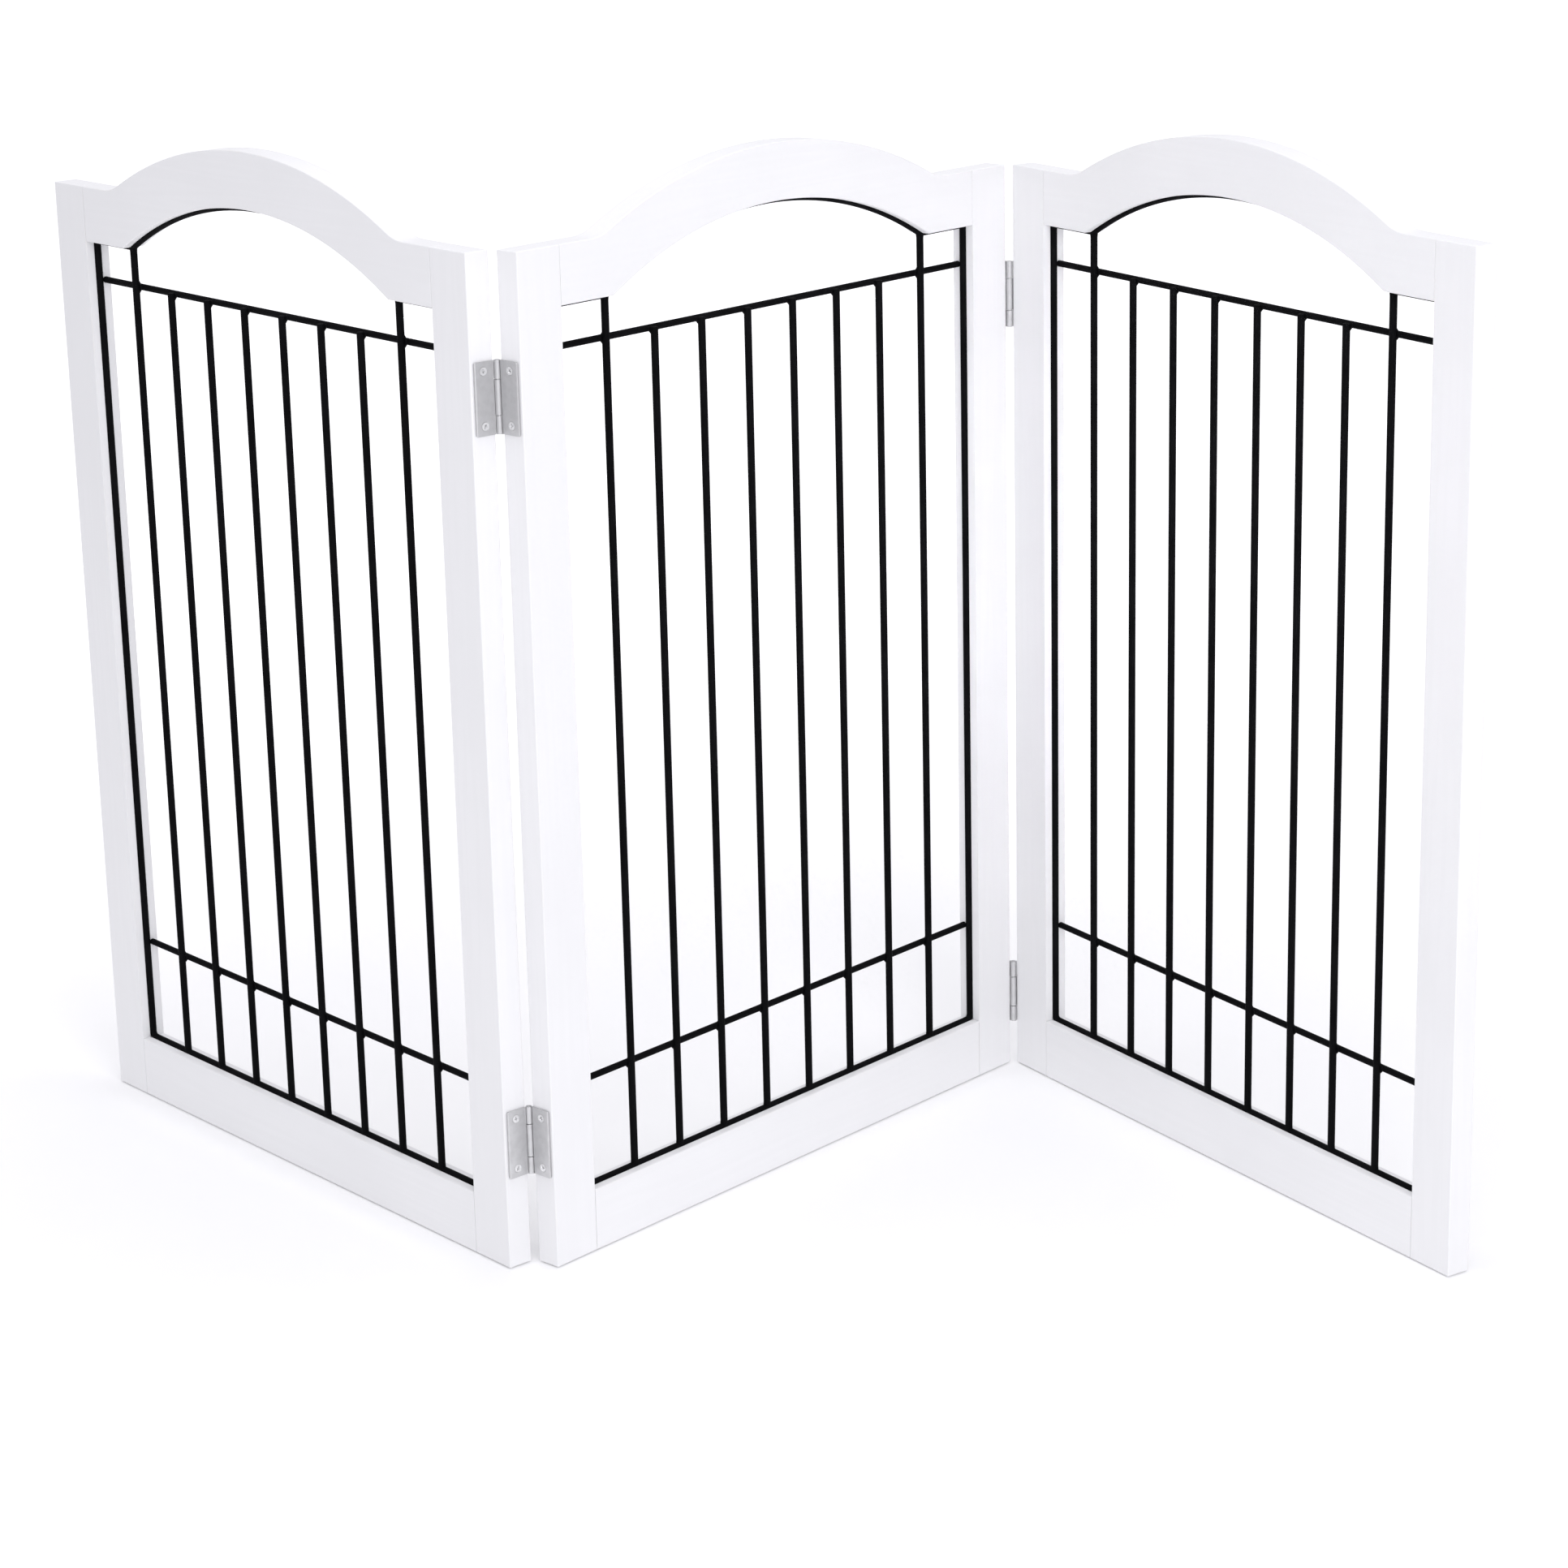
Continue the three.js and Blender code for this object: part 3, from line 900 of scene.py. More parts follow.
@dataclass(frozen=True)
class Fold:
    """The hinge line between the middle panel and a side panel.

    Attributes:
        side: The side panel's name.
        axis: A point on the line.
        opened: The side panel's turn in the gate, from in line with the middle panel.
    """

    side: str
    axis: Vector
    opened: float

    @classmethod
    def from_frame(cls, side: str) -> "Fold":
        """Reads a fold from the frame's joint.

        Args:
            side: The side panel's name.

        Returns:
            The fold, with the angle by which the panel is turned away from in line.
        """
        joint = next(j for j in frame["joints"] if j["name"] == f"{side}_fold")
        return cls(side, Vector(joint["pos_m"]), -math.radians(joint["range_deg"][1]))

    @property
    def on_right(self) -> bool:
        """True for the fold at the middle panel's right end."""
        return self.axis.x > 0

    @property
    def in_front(self) -> bool:
        """True where the hinge line stands in front of the middle panel."""
        return self.axis.y < 0

    def stand(self, sizes: PanelSizes) -> Stand:
        """Returns the side panel's place."""
        across = self.axis.y - sizes.corner.y
        past_end = abs(self.axis.x) - sizes.middle
        own = Vector((-past_end if self.on_right else sizes.width + past_end, across, 0.0))
        turned = Matrix.Translation(self.axis) @ Matrix.Rotation(self.opened, 4, "Z")
        return Stand(self.side, f"{self.side}_panel", turned @ Matrix.Translation(-own))


# The panels' frames and grids.


@dataclass
class TimberFrame:
    """Two stiles, a bottom rail and an arched top rail, dowelled together and painted."""

    sizes: PanelSizes
    arch: Arch
    joint_gap: float = 0.3 * MM
    arris: float = 0.9 * MM
    joint_arris: float = 0.3 * MM
    groove_width: float = 6.0 * MM
    groove_depth: float = 3.0 * MM
    dowel_radius: float = 4.0 * MM
    dowel_length: float = 36 * MM
    dowel_clearance: float = 0.3 * MM
    dowel_chamfer: float = 0.8 * MM
    flute_margin: float = 0.12 * MM
    flute_depth: float = 0.3 * MM
    pilot_radius: float = 1.6 * MM
    pilot_depth: float = 14.6 * MM
    arch_steps: int = 48
    fillet_steps: int = 8

    @property
    def mid_thickness(self) -> float:
        """The height of the members' middle plane above their front faces."""
        return self.sizes.thickness / 2

    @property
    def joints(self) -> dict[str, float]:
        """Where each stile meets the rails."""
        return {"left": self.sizes.stile, "right": self.sizes.width - self.sizes.stile}

    @property
    def rail_ends(self) -> tuple[float, float]:
        """Where the rails end, a hair short of the stiles."""
        return self.joints["left"] + self.joint_gap, self.joints["right"] - self.joint_gap

    @property
    def rows(self) -> dict[str, float]:
        """The heights of the dowels."""
        return {"top": self.sizes.shoulder - self.sizes.depth / 2, "bottom": self.sizes.base / 2}

    def groove_cutter(self) -> Piece:
        """Makes the plate that cuts the grid's groove round the opening."""
        s, out = self.sizes, self.groove_depth
        left, right = s.stile - out, s.width - s.stile + out
        level = s.underside + out
        end = self.arch.end(self.arch.inner + out, level)
        spring = (self.arch.inner + out) * math.cos(end)
        pen = Pen("groove", left, s.base - out, self.mid_thickness - self.groove_width / 2)
        pen.line(right, s.base - out)
        pen.line(right, level)
        pen.line(s.middle + spring, level)
        pen.turn(self.arch.centre, math.pi - 2 * end, self.arch_steps)
        pen.line(left, level)
        pen.line(left, s.base - out)
        return pen.fill(self.groove_width)

    def dowel_cutter(self, side: str, row: str) -> Piece:
        """Makes the rod that drills one dowel's hole through a joint."""
        length = self.dowel_length + 2 * self.dowel_clearance
        start = (self.joints[side] - length / 2, self.mid_thickness, self.rows[row])
        return rod("drill", start, Axis.X, length, self.dowel_radius + self.dowel_clearance, 24)

    def pilot_cutters(self, side: str, heights: Sequence[float]) -> list[Piece]:
        """Makes the rods that drill the hinge screws' pilot holes into a stile's end face."""
        over = 1.0 * MM
        start = -over if side == "left" else self.sizes.width - self.pilot_depth
        places = [(start, self.mid_thickness, z) for z in heights]
        length = self.pilot_depth + over
        return [rod("pilot", place, Axis.X, length, self.pilot_radius, 16) for place in places]

    def _soften(self, piece: Piece, faces: Sequence[float]) -> None:
        """Rounds a member's arrises, and those round its joint faces, at some places on X, less."""

        def at_joint(edge: Edge) -> bool:
            """Returns True if an edge lies in a joint face."""
            return any(edge.both(lambda p, x=x: near(p.x, x)) for x in faces)

        ease(piece, self.arris, lambda e: e.angle > 1 and not at_joint(e), 4)
        ease(piece, self.joint_arris, lambda e: e.angle > 1 and at_joint(e), 2)

    def _note_grain(self, piece: Piece, upright: bool, rooms: Callable[[Vector], Sequence[float]]) -> None:
        """Stores where each point lies along the grain, and how far it is from the arrises."""
        middle = self.mid_thickness
        store(piece, "timber_place", lambda p: (p.z, p.x, p.y) if upright else (p.x, p.z, p.y))
        store(piece, "arris_room", lambda p: (*rooms(p), p.y - middle))

    def stile(self, side: str, screw_heights: Sequence[float]) -> Piece:
        """Makes a stile.

        Args:
            side: left or right.
            screw_heights: The heights of the hinge screws, if it is hinged.

        Returns:
            The stile in the panel's frame.
        """
        s = self.sizes
        low = 0.0 if side == "left" else s.width - s.stile
        piece = block(f"{side}_stile_model", (low, 0, 0), (low + s.stile, s.thickness, s.shoulder))
        self._soften(piece, [self.joints[side]])
        cut(piece, self.groove_cutter(), *(self.dowel_cutter(side, row) for row in self.rows))
        cut(piece, *self.pilot_cutters(side, screw_heights))
        self._note_grain(piece, True, lambda p: (abs(p.x - low), abs(low + s.stile - p.x)))
        smooth(piece)
        return piece

    def bottom_rail(self) -> Piece:
        """Makes the bottom rail in the panel's frame."""
        s = self.sizes
        left, right = self.rail_ends
        piece = block("bottom_rail_model", (left, 0, 0), (right, s.thickness, s.base))
        self._soften(piece, self.rail_ends)
        cut(piece, self.groove_cutter(), *(self.dowel_cutter(side, "bottom") for side in self.joints))
        self._note_grain(piece, False, lambda p: (abs(p.z), abs(s.base - p.z)))
        smooth(piece)
        return piece

    def _rail_edge(self, top: bool) -> Piece:
        """Draws the top rail's top or its underside, from left to right."""
        s, arch, flat = self.sizes, self.arch, self.fillet_steps + 1
        left, right = self.rail_ends
        if not top:
            end = arch.end(arch.inner, s.underside)
            pen = Pen("underside", left, s.underside)
            pen.line(s.middle - arch.half_span, s.underside, flat)
            pen.turn(arch.centre, 2 * end - math.pi, self.arch_steps)
            pen.line(right, s.underside, flat)
            return pen.lift()
        reach, angle = arch.fillet(arch.outer, s.shoulder, arch.outer_fillet)
        level, swing = s.shoulder + arch.outer_fillet, math.pi / 2 - angle
        pen = Pen("top", left, s.shoulder)
        pen.line(s.middle - reach, s.shoulder)
        pen.turn((s.middle - reach, level), swing, self.fillet_steps)
        pen.turn(arch.centre, 2 * angle - math.pi, self.arch_steps)
        pen.turn((s.middle + reach, level), swing, self.fillet_steps)
        pen.line(right, s.shoulder)
        return pen.lift()

    def top_rail(self) -> Piece:
        """Makes the arched top rail in the panel's frame."""
        s = self.sizes
        piece, other = self._rail_edge(True), self._rail_edge(False)
        select_only(piece)
        other.select_set(True)
        bpy.ops.object.join()
        piece.name = "top_rail_model"
        with editing(piece, Pick.EDGES):
            bpy.ops.mesh.bridge_edge_loops()
            bpy.ops.mesh.select_all(action="SELECT")
            bpy.ops.mesh.extrude_region_move(TRANSFORM_OT_translate={"value": (0, s.thickness, 0)})
            face_out()
        self._soften(piece, self.rail_ends)
        cut(piece, self.groove_cutter(), *(self.dowel_cutter(side, "top") for side in self.joints))
        self._note_grain(piece, False, self.arch.rooms)
        smooth(piece, 20.0)
        return piece

    def dowel(self) -> Piece:
        """Makes one fluted dowel along X, centred on the origin."""
        half = self.dowel_length / 2
        piece = rod("dowel_model", (-half, 0, 0), Axis.X, self.dowel_length, self.dowel_radius, 24)
        ease(piece, self.dowel_chamfer, lambda e: e.angle > 1 and near(abs(e.start.x), half), 2)
        flute = math.pi / 6

        def in_flute(centre: Vector, normal: Vector) -> bool:
            """Returns True for a face of the dowel's side that gets a flute."""
            angle = math.atan2(centre.z, centre.y) % flute
            return abs(normal.x) < 0.1 and angle < flute / 2

        with editing(piece, Pick.FACES, in_flute):
            bpy.ops.mesh.inset(thickness=self.flute_margin, depth=-self.flute_depth, use_individual=True)
        store(piece, "timber_place", lambda p: (p.x, p.y, p.z))
        smooth(piece)
        return piece


@dataclass
class WireGrid:
    """The welded grid: a rim bent round the opening, upright bars and two cross wires."""

    sizes: PanelSizes
    arch: Arch
    rim_radius: float = 2.7 * MM
    bar_radius: float = 2.7 * MM
    cross_radius: float = 2.4 * MM
    weld_sink: float = 0.8 * MM
    bar_count: int = 8
    upper_drop: float = 30 * MM
    lower_rise: float = 78 * MM
    corner_bend: float = 4.0 * MM
    springing_bend: float = 6.0 * MM
    corner_steps: int = 6
    springing_steps: int = 4
    arch_steps: int = 40
    sides: int = 16
    flare: float = 1.35
    flare_reach: float = 1.4 * MM
    weld_reach: float = 5.15 * MM
    weld_depth: float = 0.9 * MM
    weld_drift: float = 0.07 * MM
    bar_end: float = 1.2 * MM
    bar_end_round: float = 0.7 * MM
    bar_play: float = 0.03 * MM
    wire_arris: float = 0.5 * MM

    @property
    def plane(self) -> float:
        """Where the bars and the rim stand in the panel's thickness."""
        return self.sizes.thickness / 2

    @property
    def cross_plane(self) -> float:
        """Where the cross wires lie, behind the bars and sunk into them at the welds."""
        return self.plane + self.bar_radius + self.cross_radius - self.weld_sink

    @property
    def cross_heights(self) -> tuple[float, float]:
        """The heights of the lower and the upper cross wire."""
        return self.sizes.base + self.lower_rise, self.sizes.underside - self.upper_drop

    def bar_places(self) -> list[float]:
        """Returns where the bars stand along the panel."""
        step = 2 * self.arch.half_span / (self.bar_count - 1)
        first = self.sizes.middle - self.arch.half_span
        return [first + step * i for i in range(self.bar_count)]

    def rim(self) -> Piece:
        """Bends the rim round the opening."""
        s, bend, right_angle = self.sizes, self.corner_bend, math.pi / 2
        reach, angle = self.arch.fillet(self.arch.inner, s.underside, self.springing_bend)
        half = s.middle - s.stile - bend
        side = s.underside - s.base - 2 * bend
        ledge = half - reach
        swing = right_angle - angle
        wire = WireBender("rim", Vector((s.middle, self.plane, s.base)), self.rim_radius, self.sides)
        wire.feed(half)
        for length in (side, ledge):
            wire.bend(bend, right_angle, self.corner_steps)
            wire.feed(length)
        wire.bend(self.springing_bend, -swing, self.springing_steps)
        wire.bend(self.arch.inner, 2 * swing, self.arch_steps)
        wire.bend(self.springing_bend, -swing, self.springing_steps)
        wire.feed(ledge)
        for length in (side, half):
            wire.bend(bend, right_angle, self.corner_steps)
            wire.feed(length)
        return wire.close()

    def _flare(self, bar: Piece, at: float, inwards: float) -> None:
        """Widens a bar sideways where its end meets the rim, as melted metal does.

        Args:
            bar: The bar.
            at: The height of its end.
            inwards: How far in the widening starts, with its sign.
        """
        waist, waist_share = at + inwards * 0.6, 0.35
        for level in (at + inwards, waist):
            with editing(bar, Pick.FACES):
                bpy.ops.mesh.bisect(plane_co=(0, 0, level), plane_no=(0, 0, 1))
        growths = ((at, self.flare), (waist, 1 + (self.flare - 1) * waist_share))
        for level, growth in growths:
            with editing(bar, Pick.POINTS, lambda p, level=level: near(p.z, level)):
                bpy.ops.transform.resize(value=(growth, 1.0, 1.0))

    def bar(self, x: float, tall: bool) -> Piece:
        """Makes an upright bar, up to the rim or, where it is short, to the upper cross wire."""
        s = self.sizes
        top = s.underside if tall else self.cross_heights[1] + self.bar_end
        start, radius = (x, self.plane, s.base), self.bar_radius - self.bar_play
        piece = rod("bar", start, Axis.Z, top - s.base, radius, self.sides)
        inwards = self.rim_radius + self.flare_reach
        self._flare(piece, s.base, inwards)
        if tall:
            self._flare(piece, top, -inwards)
        else:
            ease(piece, self.bar_end_round, lambda e: e.both(lambda p: near(p.z, top)), 3)
        return piece

    def cross_wire(self, z: float) -> Piece:
        """Makes a cross wire, which runs behind the bars from stile to stile."""
        s, short = self.sizes, self.weld_sink
        length = s.width - 2 * s.stile - 2 * short
        start = (s.stile + short, self.cross_plane, z)
        piece = rod("cross_wire", start, Axis.X, length, self.cross_radius, self.sides)
        ends = (start[0], start[0] + length)
        ease(piece, self.wire_arris, lambda e: any(e.both(lambda p, x=x: near(p.x, x)) for x in ends), 2)
        return piece

    def weld_spot(self, x: float, z: float, crossed: bool) -> Piece:
        """Makes the squeezed metal in the corners between a bar and a cross wire.

        Args:
            x: Where the bar stands.
            z: The height of the cross wire.
            crossed: True where the bar goes on above the wire.

        Returns:
            The squeezed metal.
        """
        middle = (self.plane + self.cross_plane) / 2
        start = (x + self.weld_drift, middle - self.weld_depth, z + self.weld_drift)
        piece = rod("weld", start, Axis.Y, 2 * self.weld_depth, self.weld_reach, 4)
        if not crossed:
            with editing(piece, Pick.FACES):
                bpy.ops.mesh.bisect(
                    plane_co=(x, middle, z + self.bar_end), plane_no=(0, 0, 1),
                    use_fill=True, clear_outer=True,
                )
        ease(piece, self.wire_arris, lambda e: e.angle > 0.7, 2)
        return piece

    def build(self) -> Piece:
        """Makes the whole grid as one welded and coated piece."""
        lower, upper = self.cross_heights
        places = self.bar_places()
        piece = self.rim()
        weld(piece, self.cross_wire(lower), self.cross_wire(upper))
        for number, x in enumerate(places):
            tall = number in (0, self.bar_count - 1)
            weld(piece, self.bar(x, tall))
            weld(piece, self.weld_spot(x, lower, True), self.weld_spot(x, upper, tall))
        piece.name = "wire_grid_model"
        smooth(piece, 40.0)
        return piece


# The hinges.


class LeafKind(Enum):
    """Which knuckles a leaf has: the single middle one, or the two outer ones."""

    SINGLE = "swing"
    DOUBLE = "fixed"


@dataclass
class ButtHinge:
    """A plated butt hinge in its own frame: its pin on Z, and a leaf at +X that runs to -Y."""

    height: float = 50 * MM
    front: float = 0.4 * MM
    back: float = 1.8 * MM
    reach: float = 18.397 * MM
    knuckle_radius: float = 2.4 * MM
    knuckle_gap: float = 0.4 * MM
    middle_knuckle: float = 24 * MM
    pin_radius: float = 1.2 * MM
    pin_clearance: float = 0.12 * MM
    corner: float = 1.2 * MM
    screw_inset: float = 6.5 * MM
    screw_reach: float = 11.197 * MM
    head_radius: float = 2.9 * MM
    head_height: float = 1.2 * MM
    shank_radius: float = 1.3 * MM
    screw_length: float = 16 * MM
    thread_pitch: float = 1.5 * MM
    slack: float = 0.15 * MM
    knuckle_arris: float = 0.25 * MM
    plate_arris: float = 0.18 * MM
    head_arris: float = 0.15 * MM
    pin_end_round: float = 0.35 * MM
    seam: float = 0.25 * MM

    @property
    def half(self) -> float:
        """Half the hinge's height."""
        return self.height / 2

    @property
    def screw_heights(self) -> tuple[float, float]:
        """The heights of a leaf's two screws, from the hinge's middle."""
        return self.screw_inset - self.half, self.half - self.screw_inset

    def spans(self, kind: LeafKind) -> list[tuple[float, float]]:
        """Returns the lowest and highest level of each of a leaf's knuckles."""
        inner = self.middle_knuckle / 2
        if kind is LeafKind.SINGLE:
            return [(-inner, inner)]
        outer = inner + self.knuckle_gap
        return [(-self.half, -outer), (outer, self.half)]

    def _knuckle(self, low: float, high: float) -> Piece:
        """Rolls one knuckle round the pin, with the web that joins it to the plate."""
        barrel = rod("knuckle", (0, 0, low), Axis.Z, high - low, self.knuckle_radius, 40)
        ease(barrel, self.knuckle_arris, lambda e: e.angle > 1, 2)
        lap = 1.0 * MM
        end = -(self.knuckle_radius + self.knuckle_gap + lap)
        weld(barrel, block("web", (self.front, end, low), (self.back, 0, high)))
        return barrel

    def _screw_space(self, z: float) -> list[Piece]:
        """Makes the countersink and the hole for one screw."""
        y, grow = -self.screw_reach, self.slack
        wide, narrow = self.head_radius + grow, self.shank_radius + grow
        before = 0.2 * MM
        depth = self.head_height + grow
        slope = (wide - narrow) / depth
        start, radii = (self.front - before, y, z), (wide + slope * before, narrow)
        sink = cone("sink", start, Axis.X, before + depth, radii, 40)
        through = 3 * MM
        return [sink, rod("hole", (self.front, y, z), Axis.X, through, narrow, 32)]

    def leaf(self, kind: LeafKind) -> Piece:
        """Makes a leaf.

        Args:
            kind: Which knuckles it has.

        Returns:
            The leaf in the hinge's frame.
        """
        notch = -(self.knuckle_radius + self.knuckle_gap)
        edge = -self.reach
        low_corner, high_corner = (self.front, edge, -self.half), (self.back, notch, self.half)
        piece = block(f"{kind.value}_leaf_model", low_corner, high_corner)

        def free(place: Vector) -> bool:
            """Returns True for a place at one of the two corners away from the pin."""
            return near(place.y, edge) and near(abs(place.z), self.half)

        ease(piece, self.corner, lambda e: e.both(free), 5)
        ease(piece, self.plate_arris, lambda e: e.angle > 1 and not e.both(lambda p: near(p.y, notch)), 2)
        weld(piece, *(self._knuckle(low, high) for low, high in self.spans(kind)))
        bore, seam = self.pin_radius + self.pin_clearance, self.seam
        cut(piece, rod("bore", (0, 0, -self.height), Axis.Z, 2 * self.height, bore, 32))
        inside_bore = -0.8 * bore
        for low, high in self.spans(kind):
            outermost = (self.front - seam, -(self.knuckle_radius + seam), low - seam)
            cut(piece, block("slit", outermost, (self.front, inside_bore, high + seam)))
        for z in self.screw_heights:
            cut(piece, *self._screw_space(z))
        smooth(piece, 30.0)
        return piece

    def pin(self) -> Piece:
        """Makes the pin, with its ends rounded over."""
        piece = rod("pin_model", (0, 0, -self.half), Axis.Z, self.height, self.pin_radius, 32)
        ease(piece, self.pin_end_round, lambda e: e.angle > 1, 3)
        smooth(piece, 30.0)
        return piece

    def _recess(self) -> Piece:
        """Makes the cross-shaped recess, as two tapered bars sunk into the head."""
        arm, wide, depth, taper = 1.75 * MM, 0.42 * MM, 1.3 * MM, 0.45
        over = 0.3 * MM
        bars = []
        for sizes in ((arm, wide), (wide, arm)):
            bar = block("arm", (-over, -sizes[0], -sizes[1]), (depth, sizes[0], sizes[1]))
            with editing(bar, Pick.POINTS, lambda p: near(p.x, depth)):
                bpy.ops.transform.resize(value=(1.0, taper, taper))
            bars.append(bar)
        weld(bars[0], bars[1])
        return bars[0]

    def _thread(self) -> Piece:
        """Winds the thread as a closed ridge round the X axis."""
        turns, root = 7, self.shank_radius - 0.42 * MM
        crest = self.shank_radius - 0.05 * MM
        half, short_of_end = 0.36 * MM, 2.2 * MM
        pen = Pen("thread", self.screw_length - short_of_end, root)
        pen.line(pen.at.x - half, crest)
        pen.line(pen.at.x - half, root)
        pen.line(pen.at.x + 2 * half, root)
        bpy.ops.mesh.select_all(action="SELECT")
        bpy.ops.mesh.remove_doubles(threshold=0.005 * MM)
        piece = pen.lift()
        winding = piece.modifiers.new("thread", "SCREW")
        winding.axis = "X"
        winding.screw_offset = -self.thread_pitch
        winding.iterations = turns
        winding.steps = winding.render_steps = 18
        winding.use_merge_vertices = False
        select_only(piece)
        bpy.ops.object.modifier_apply(modifier=winding.name)
        with editing(piece, Pick.EDGES):
            bpy.ops.mesh.fill_holes(sides=4)
            face_out()
        return piece

    def screw(self) -> Piece:
        """Makes a countersunk wood screw along +X, with its head's face at the origin."""
        core = self.shank_radius - 0.35 * MM
        tip, point_radius, lap = 2.0 * MM, 0.12 * MM, 0.1 * MM
        length = self.screw_length - tip
        head = cone("screw_model", (0, 0, 0), Axis.X, self.head_height, (self.head_radius, core), 40)
        ease(head, self.head_arris, lambda e: e.both(lambda p: near(p.x, 0)), 2)
        start = self.head_height / 2
        weld(head, rod("core", (start, 0, 0), Axis.X, length - start, core, 20))
        weld(head, cone("tip", (length - lap, 0, 0), Axis.X, tip, (core, point_radius), 20))
        weld(head, self._thread())
        cut(head, self._recess())
        store(head, "turned_place", lambda p: (p.x, p.y, p.z))
        smooth(head, 30.0)
        return head


# The whole gate.


class Gate:
    """Models each kind of piece once, and sets copies of it all round the gate."""

    def __init__(self) -> None:
        """Reads the sizes and the places off the frame."""
        self.sizes = PanelSizes.from_frame()
        self.arch = Arch(self.sizes)
        self.timber = TimberFrame(self.sizes, self.arch)
        self.grid = WireGrid(self.sizes, self.arch)
        self.hinge = ButtHinge()
        self.folds = [Fold.from_frame("left"), Fold.from_frame("right")]
        middle = Stand("middle", "middle_panel", Matrix.Translation(self.sizes.corner))
        self.stands = [middle, *(fold.stand(self.sizes) for fold in self.folds)]

    def hinge_height(self, side: str, row: str) -> float:
        """Returns the height of a hinge's middle."""
        low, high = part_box(f"{side}_{row}_hinge_pin")
        return (low.z + high.z) / 2

    def screw_heights(self, fold: str) -> list[float]:
        """Returns the heights of the screws in a stile at a fold, or none away from one."""
        middles = [self.hinge_height(fold, row) for row in ("upper", "lower")] if fold else []
        return [middle + z for middle in middles for z in self.hinge.screw_heights]

    def build_timber(self) -> None:
        """Makes the stiles, rails and dowels, and sets them in the three panels."""
        paint = Finish.PAINT
        folds = {"middle": ("left", "right"), "left": ("", "left"), "right": ("right", "")}
        stiles = {
            (side, fold): self.timber.stile(side, self.screw_heights(fold))
            for side in ("left", "right") for fold in ("left", "right", "")
        }
        rails = {"bottom_rail": self.timber.bottom_rail(), "top_rail": self.timber.top_rail()}
        dowel = self.timber.dowel()
        for stand in self.stands:
            members = dict(rails)
            for side, fold in zip(("left", "right"), folds[stand.name]):
                members[f"{side}_stile"] = stiles[side, fold]
            for member, model in members.items():
                node = f"{stand.name}_{member}"
                install(model, f"painted_{node}", stand.place, stand.body, node, paint)
            for side, x in self.timber.joints.items():
                for row, z in self.timber.rows.items():
                    node = f"{stand.name}_{row}_{side}_dowel"
                    spot = stand.place @ Matrix.Translation((x, self.timber.mid_thickness, z))
                    install(dowel, f"beech_{node[:-6]}_peg", spot, stand.body, node, Finish.DOWEL)
        discard(dowel, *stiles.values(), *rails.values())

    def build_grids(self) -> None:
        """Makes the wire grid, and sets it in the three panels."""
        model = self.grid.build()
        for stand in self.stands:
            node = f"{stand.name}_wire_grid"
            install(model, f"coated_{node}", stand.place, stand.body, node, Finish.WIRE)
        discard(model)

    def build_hinges(self) -> None:
        """Makes the hinges' leaves, pins and screws, and sets them on both folds."""
        leaves = {kind: self.hinge.leaf(kind) for kind in LeafKind}
        pin, screw = self.hinge.pin(), self.hinge.screw()
        for fold in self.folds:
            for row in ("upper", "lower"):
                name = f"{fold.side}_{row}_hinge"
                middle = Vector((fold.axis.x, fold.axis.y, self.hinge_height(fold.side, row)))
                axis = Matrix.Translation(middle)
                install(pin, f"plated_{name}_pin", axis, "middle_panel", f"{name}_pin", Finish.HINGE)
                for kind, leaf in leaves.items():
                    self._hang_leaf(fold, name, axis, kind, leaf, screw)
        discard(pin, screw, *leaves.values())

    def _hang_leaf(self, fold: Fold, name: str, axis: Matrix, kind: LeafKind, leaf: Piece,
                   screw: Piece) -> None:
        """Sets one leaf and its two screws on a fold.

        Args:
            fold: The fold.
            name: The hinge's name.
            axis: The hinge's place, without the side panel's turn.
            kind: Which leaf it is.
            leaf: The leaf's model.
            screw: The screw's model.
        """
        swings = kind is LeafKind.SINGLE
        turn = Matrix.Rotation(fold.opened, 4, "Z") if swings else Matrix.Identity(4)
        across = fold.on_right != swings
        flip = Matrix.Identity(4)
        if across and fold.in_front:
            flip = Matrix.Rotation(math.pi, 4, "Z")
        elif across:
            flip = Matrix.Rotation(math.pi, 4, "Y")
        elif fold.in_front:
            flip = Matrix.Rotation(math.pi, 4, "X")
        place = axis @ turn @ flip
        body = f"{fold.side}_panel" if swings else "middle_panel"
        node = f"{name}_{kind.value}_leaf"
        install(leaf, f"plated_{node}", place, body, node, Finish.HINGE)
        # Each screw stops at an angle of its own, as screws driven by hand do.
        per_screw, per_letter = math.radians(29), math.radians(41)
        for number, z in enumerate(self.hinge.screw_heights, start=1):
            node = f"{name}_{kind.value}_screw_{number}"
            driven = Matrix.Rotation(per_screw * number + per_letter * len(node), 4, "X")
            spot = Matrix.Translation((self.hinge.front, -self.hinge.screw_reach, z))
            install(screw, f"plated_{node}", place @ spot @ driven, body, node, Finish.SCREW)


def discard(*models: Piece) -> None:
    """Removes models once their copies are in place."""
    for model in models:
        bpy.data.objects.remove(model)


# The studio.


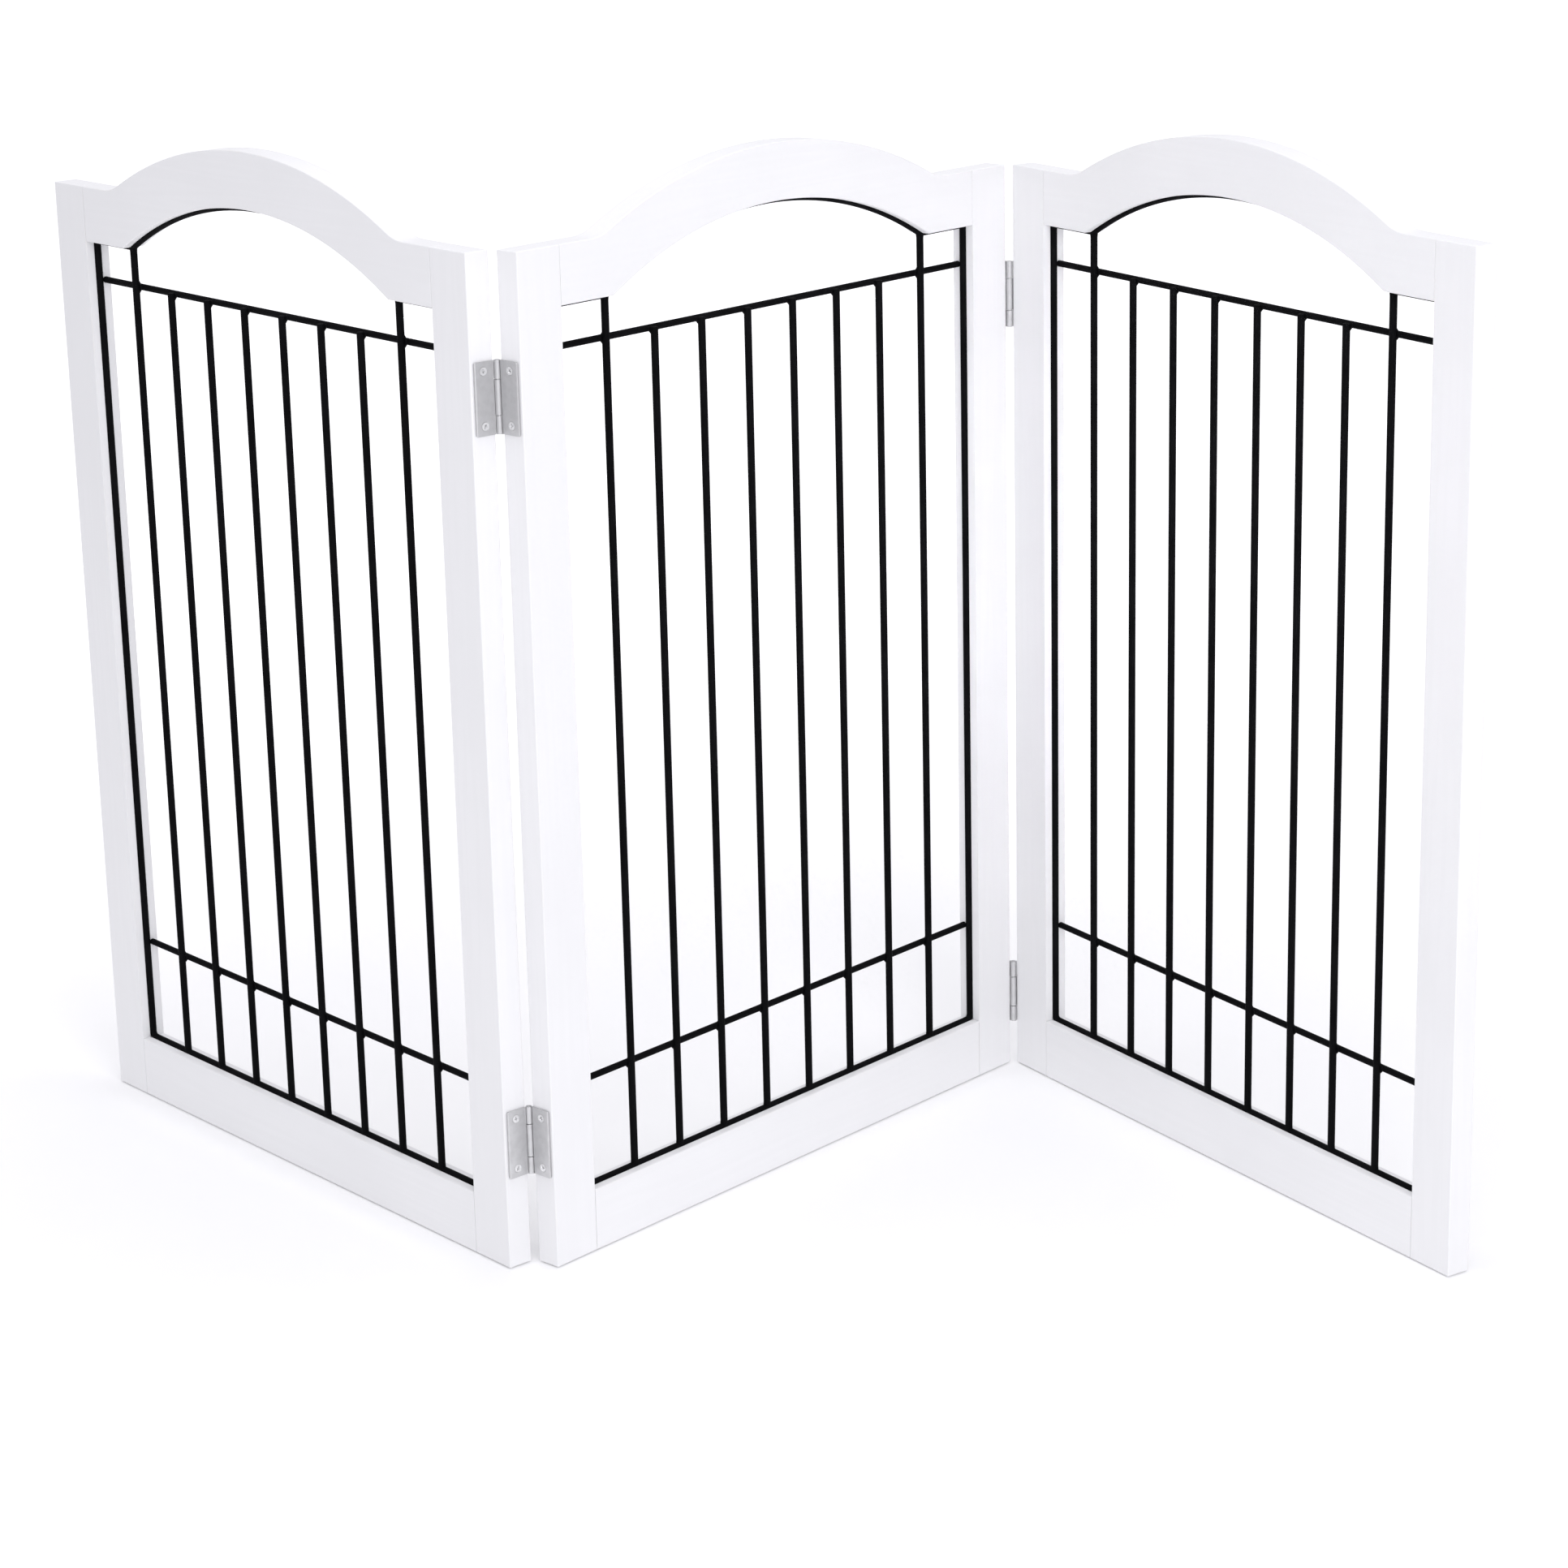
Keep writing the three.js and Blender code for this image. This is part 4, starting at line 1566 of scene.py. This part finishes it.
@dataclass(frozen=True)
class Softbox:
    """A square area light aimed at a point.

    Attributes:
        name: Its name.
        at: Its place.
        aim: The point that it faces.
        size: The length of its side.
        power: Its power in watts.
        spread: How widely its light fans out, in degrees.
    """

    name: str
    at: tuple[float, float, float]
    aim: tuple[float, float, float]
    size: float
    power: float
    spread: float = 180.0

    def build(self) -> None:
        """Adds the light."""
        light = bpy.data.lights.new(self.name, "AREA")
        light.size = self.size
        light.energy = self.power
        light.color = (0.985, 0.98, 1.0)
        light.spread = math.radians(self.spread)
        lamp = bpy.data.objects.new(self.name, light)
        lamp.location = self.at
        way = Vector(self.aim) - Vector(self.at)
        lamp.rotation_euler = way.to_track_quat("-Z", "Y").to_euler()
        bpy.context.scene.collection.objects.link(lamp)


@dataclass(frozen=True)
class Studio:
    """The camera, the lights and the plain pale floor.

    Attributes:
        camera_at: The camera's place.
        yaw: The way it looks, in degrees from +X towards +Y.
        pitch: How far it looks down, in degrees.
        roll: How far it leans, in degrees.
        lens: Its focal length in millimetres on a 36 mm sensor.
        shift: The frame's shift along its width and its height.
        sky: The colour of the light all round.
        sky_strength: Its strength.
        glow: The floor's painted glow as the camera sees it, near the gate and far from it: a light of its
            own, dim near the gate and strong away from it, so that the floor reads white.
        bounce: The floor's painted glow as the gate receives it. It lights the gate from below in place of
            light bounced off the floor.
        floor_gap: How far the floor lies below the gate, which stands on small unevennesses.
    """

    camera_at: tuple[float, float, float] = (-1.952, -1.787, 1.1016)
    yaw: float = 40.943
    pitch: float = 15.654
    roll: float = 0.908
    lens: float = 86.67
    shift: tuple[float, float] = (-0.0588, -0.0581)
    sky: tuple[float, float, float] = (0.955, 0.95, 1.0)
    sky_strength: float = 0.6
    glow: tuple[float, float] = (0.05, 0.6)
    bounce: float = 0.1
    floor_gap: float = 1.0 * MM
    lights: tuple[Softbox, ...] = (
        Softbox("key_light", (-1.2, -2.4, 1.5), (0, 0, 0.35), 1.2, 19.0),
        Softbox("fill_light", (-2.4, -1.9, 1.6), (0, 0, 0.35), 1.6, 12.0),
        Softbox("top_light", (0.0, 0.0, 3.5), (0, 0, 0), 3.0, 54.0),
        Softbox("fold_light", (-2.0, -2.6, 1.3), (0.256, 0, 0.42), 0.3, 0.19, 12.0),
    )

    def camera(self) -> None:
        """Adds the camera and makes it the scene's own."""
        data = bpy.data.cameras.new("camera")
        data.sensor_width = 36.0
        data.lens = self.lens
        data.shift_x, data.shift_y = self.shift
        camera = bpy.data.objects.new("camera", data)
        bpy.context.scene.collection.objects.link(camera)
        yaw, pitch = math.radians(self.yaw), math.radians(self.pitch)
        flat = math.cos(pitch)
        way = Vector((math.cos(yaw) * flat, math.sin(yaw) * flat, -math.sin(pitch)))
        level = way.to_track_quat("-Z", "Y").to_matrix().to_4x4()
        lean = Matrix.Rotation(-math.radians(self.roll), 4, "Z")
        camera.matrix_world = Matrix.Translation(self.camera_at) @ level @ lean
        bpy.context.scene.camera = camera

    def room(self) -> None:
        """Adds the floor, the lights and the sky, and sets how light becomes picture."""
        bpy.ops.object.select_all(action="DESELECT")
        bpy.ops.mesh.primitive_plane_add(size=80.0, location=(0, 0, -self.floor_gap))
        floor = bpy.context.object
        floor.name = "floor"
        floor.data.materials.append(self._floor_paint())
        for light in self.lights:
            light.build()
        world = bpy.data.worlds.new("sky")
        world.use_nodes = True
        ground = world.node_tree.nodes["Background"]
        ground.inputs["Color"].default_value = (*self.sky, 1.0)
        ground.inputs["Strength"].default_value = self.sky_strength
        scene = bpy.context.scene
        scene.world = world
        scene.view_settings.view_transform = "Standard"
        scene.view_settings.look = "None"

    def _floor_paint(self) -> bpy.types.Material:
        """Makes the floor's pale matt paint with a painted glow of its own: to the camera it glows more
        strongly away from the gate, and to the gate it gives a weak even glow.
        """
        made, graph, shader = new_material("floor_paint")
        place = graph.node("ShaderNodeTexCoord").outputs["Object"]
        length = graph.node("ShaderNodeVectorMath", operation="LENGTH")
        graph.feed(length.inputs[0], place)
        # Painted glow: the floor gives off light of its own, weaker near the gate and stronger away from
        # it, as the camera sees it.
        level = graph.remap(length.outputs["Value"], 0.4, 2.0, *self.glow)
        seen = graph.node("ShaderNodeLightPath").outputs["Is Camera Ray"]
        dim = (self.bounce, self.bounce, self.bounce, 1.0)
        # Rays other than the camera's see a weak even painted glow instead, which lights the gate from
        # below.
        graph.feed(shader.inputs["Emission Color"], graph.blend(seen, dim, level))
        mottle = graph.noise(place, 30.0, 3.0)
        pale = graph.blend(mottle, (0.94, 0.94, 0.945, 1.0), (0.96, 0.96, 0.965, 1.0))
        graph.feed(shader.inputs["Base Color"], pale)
        shader.inputs["Emission Strength"].default_value = 1.0
        shader.inputs["Roughness"].default_value = 0.9
        shader.inputs["Specular IOR Level"].default_value = 0.1
        return made


def main() -> None:
    """Builds the studio and the gate in order."""
    logging.basicConfig(level=logging.INFO, format="%(message)s")
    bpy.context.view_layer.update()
    studio = Studio()
    studio.camera()
    gate = Gate()
    gate.build_timber()
    gate.build_grids()
    gate.build_hinges()
    studio.room()


if __name__ == "__main__":
    main()
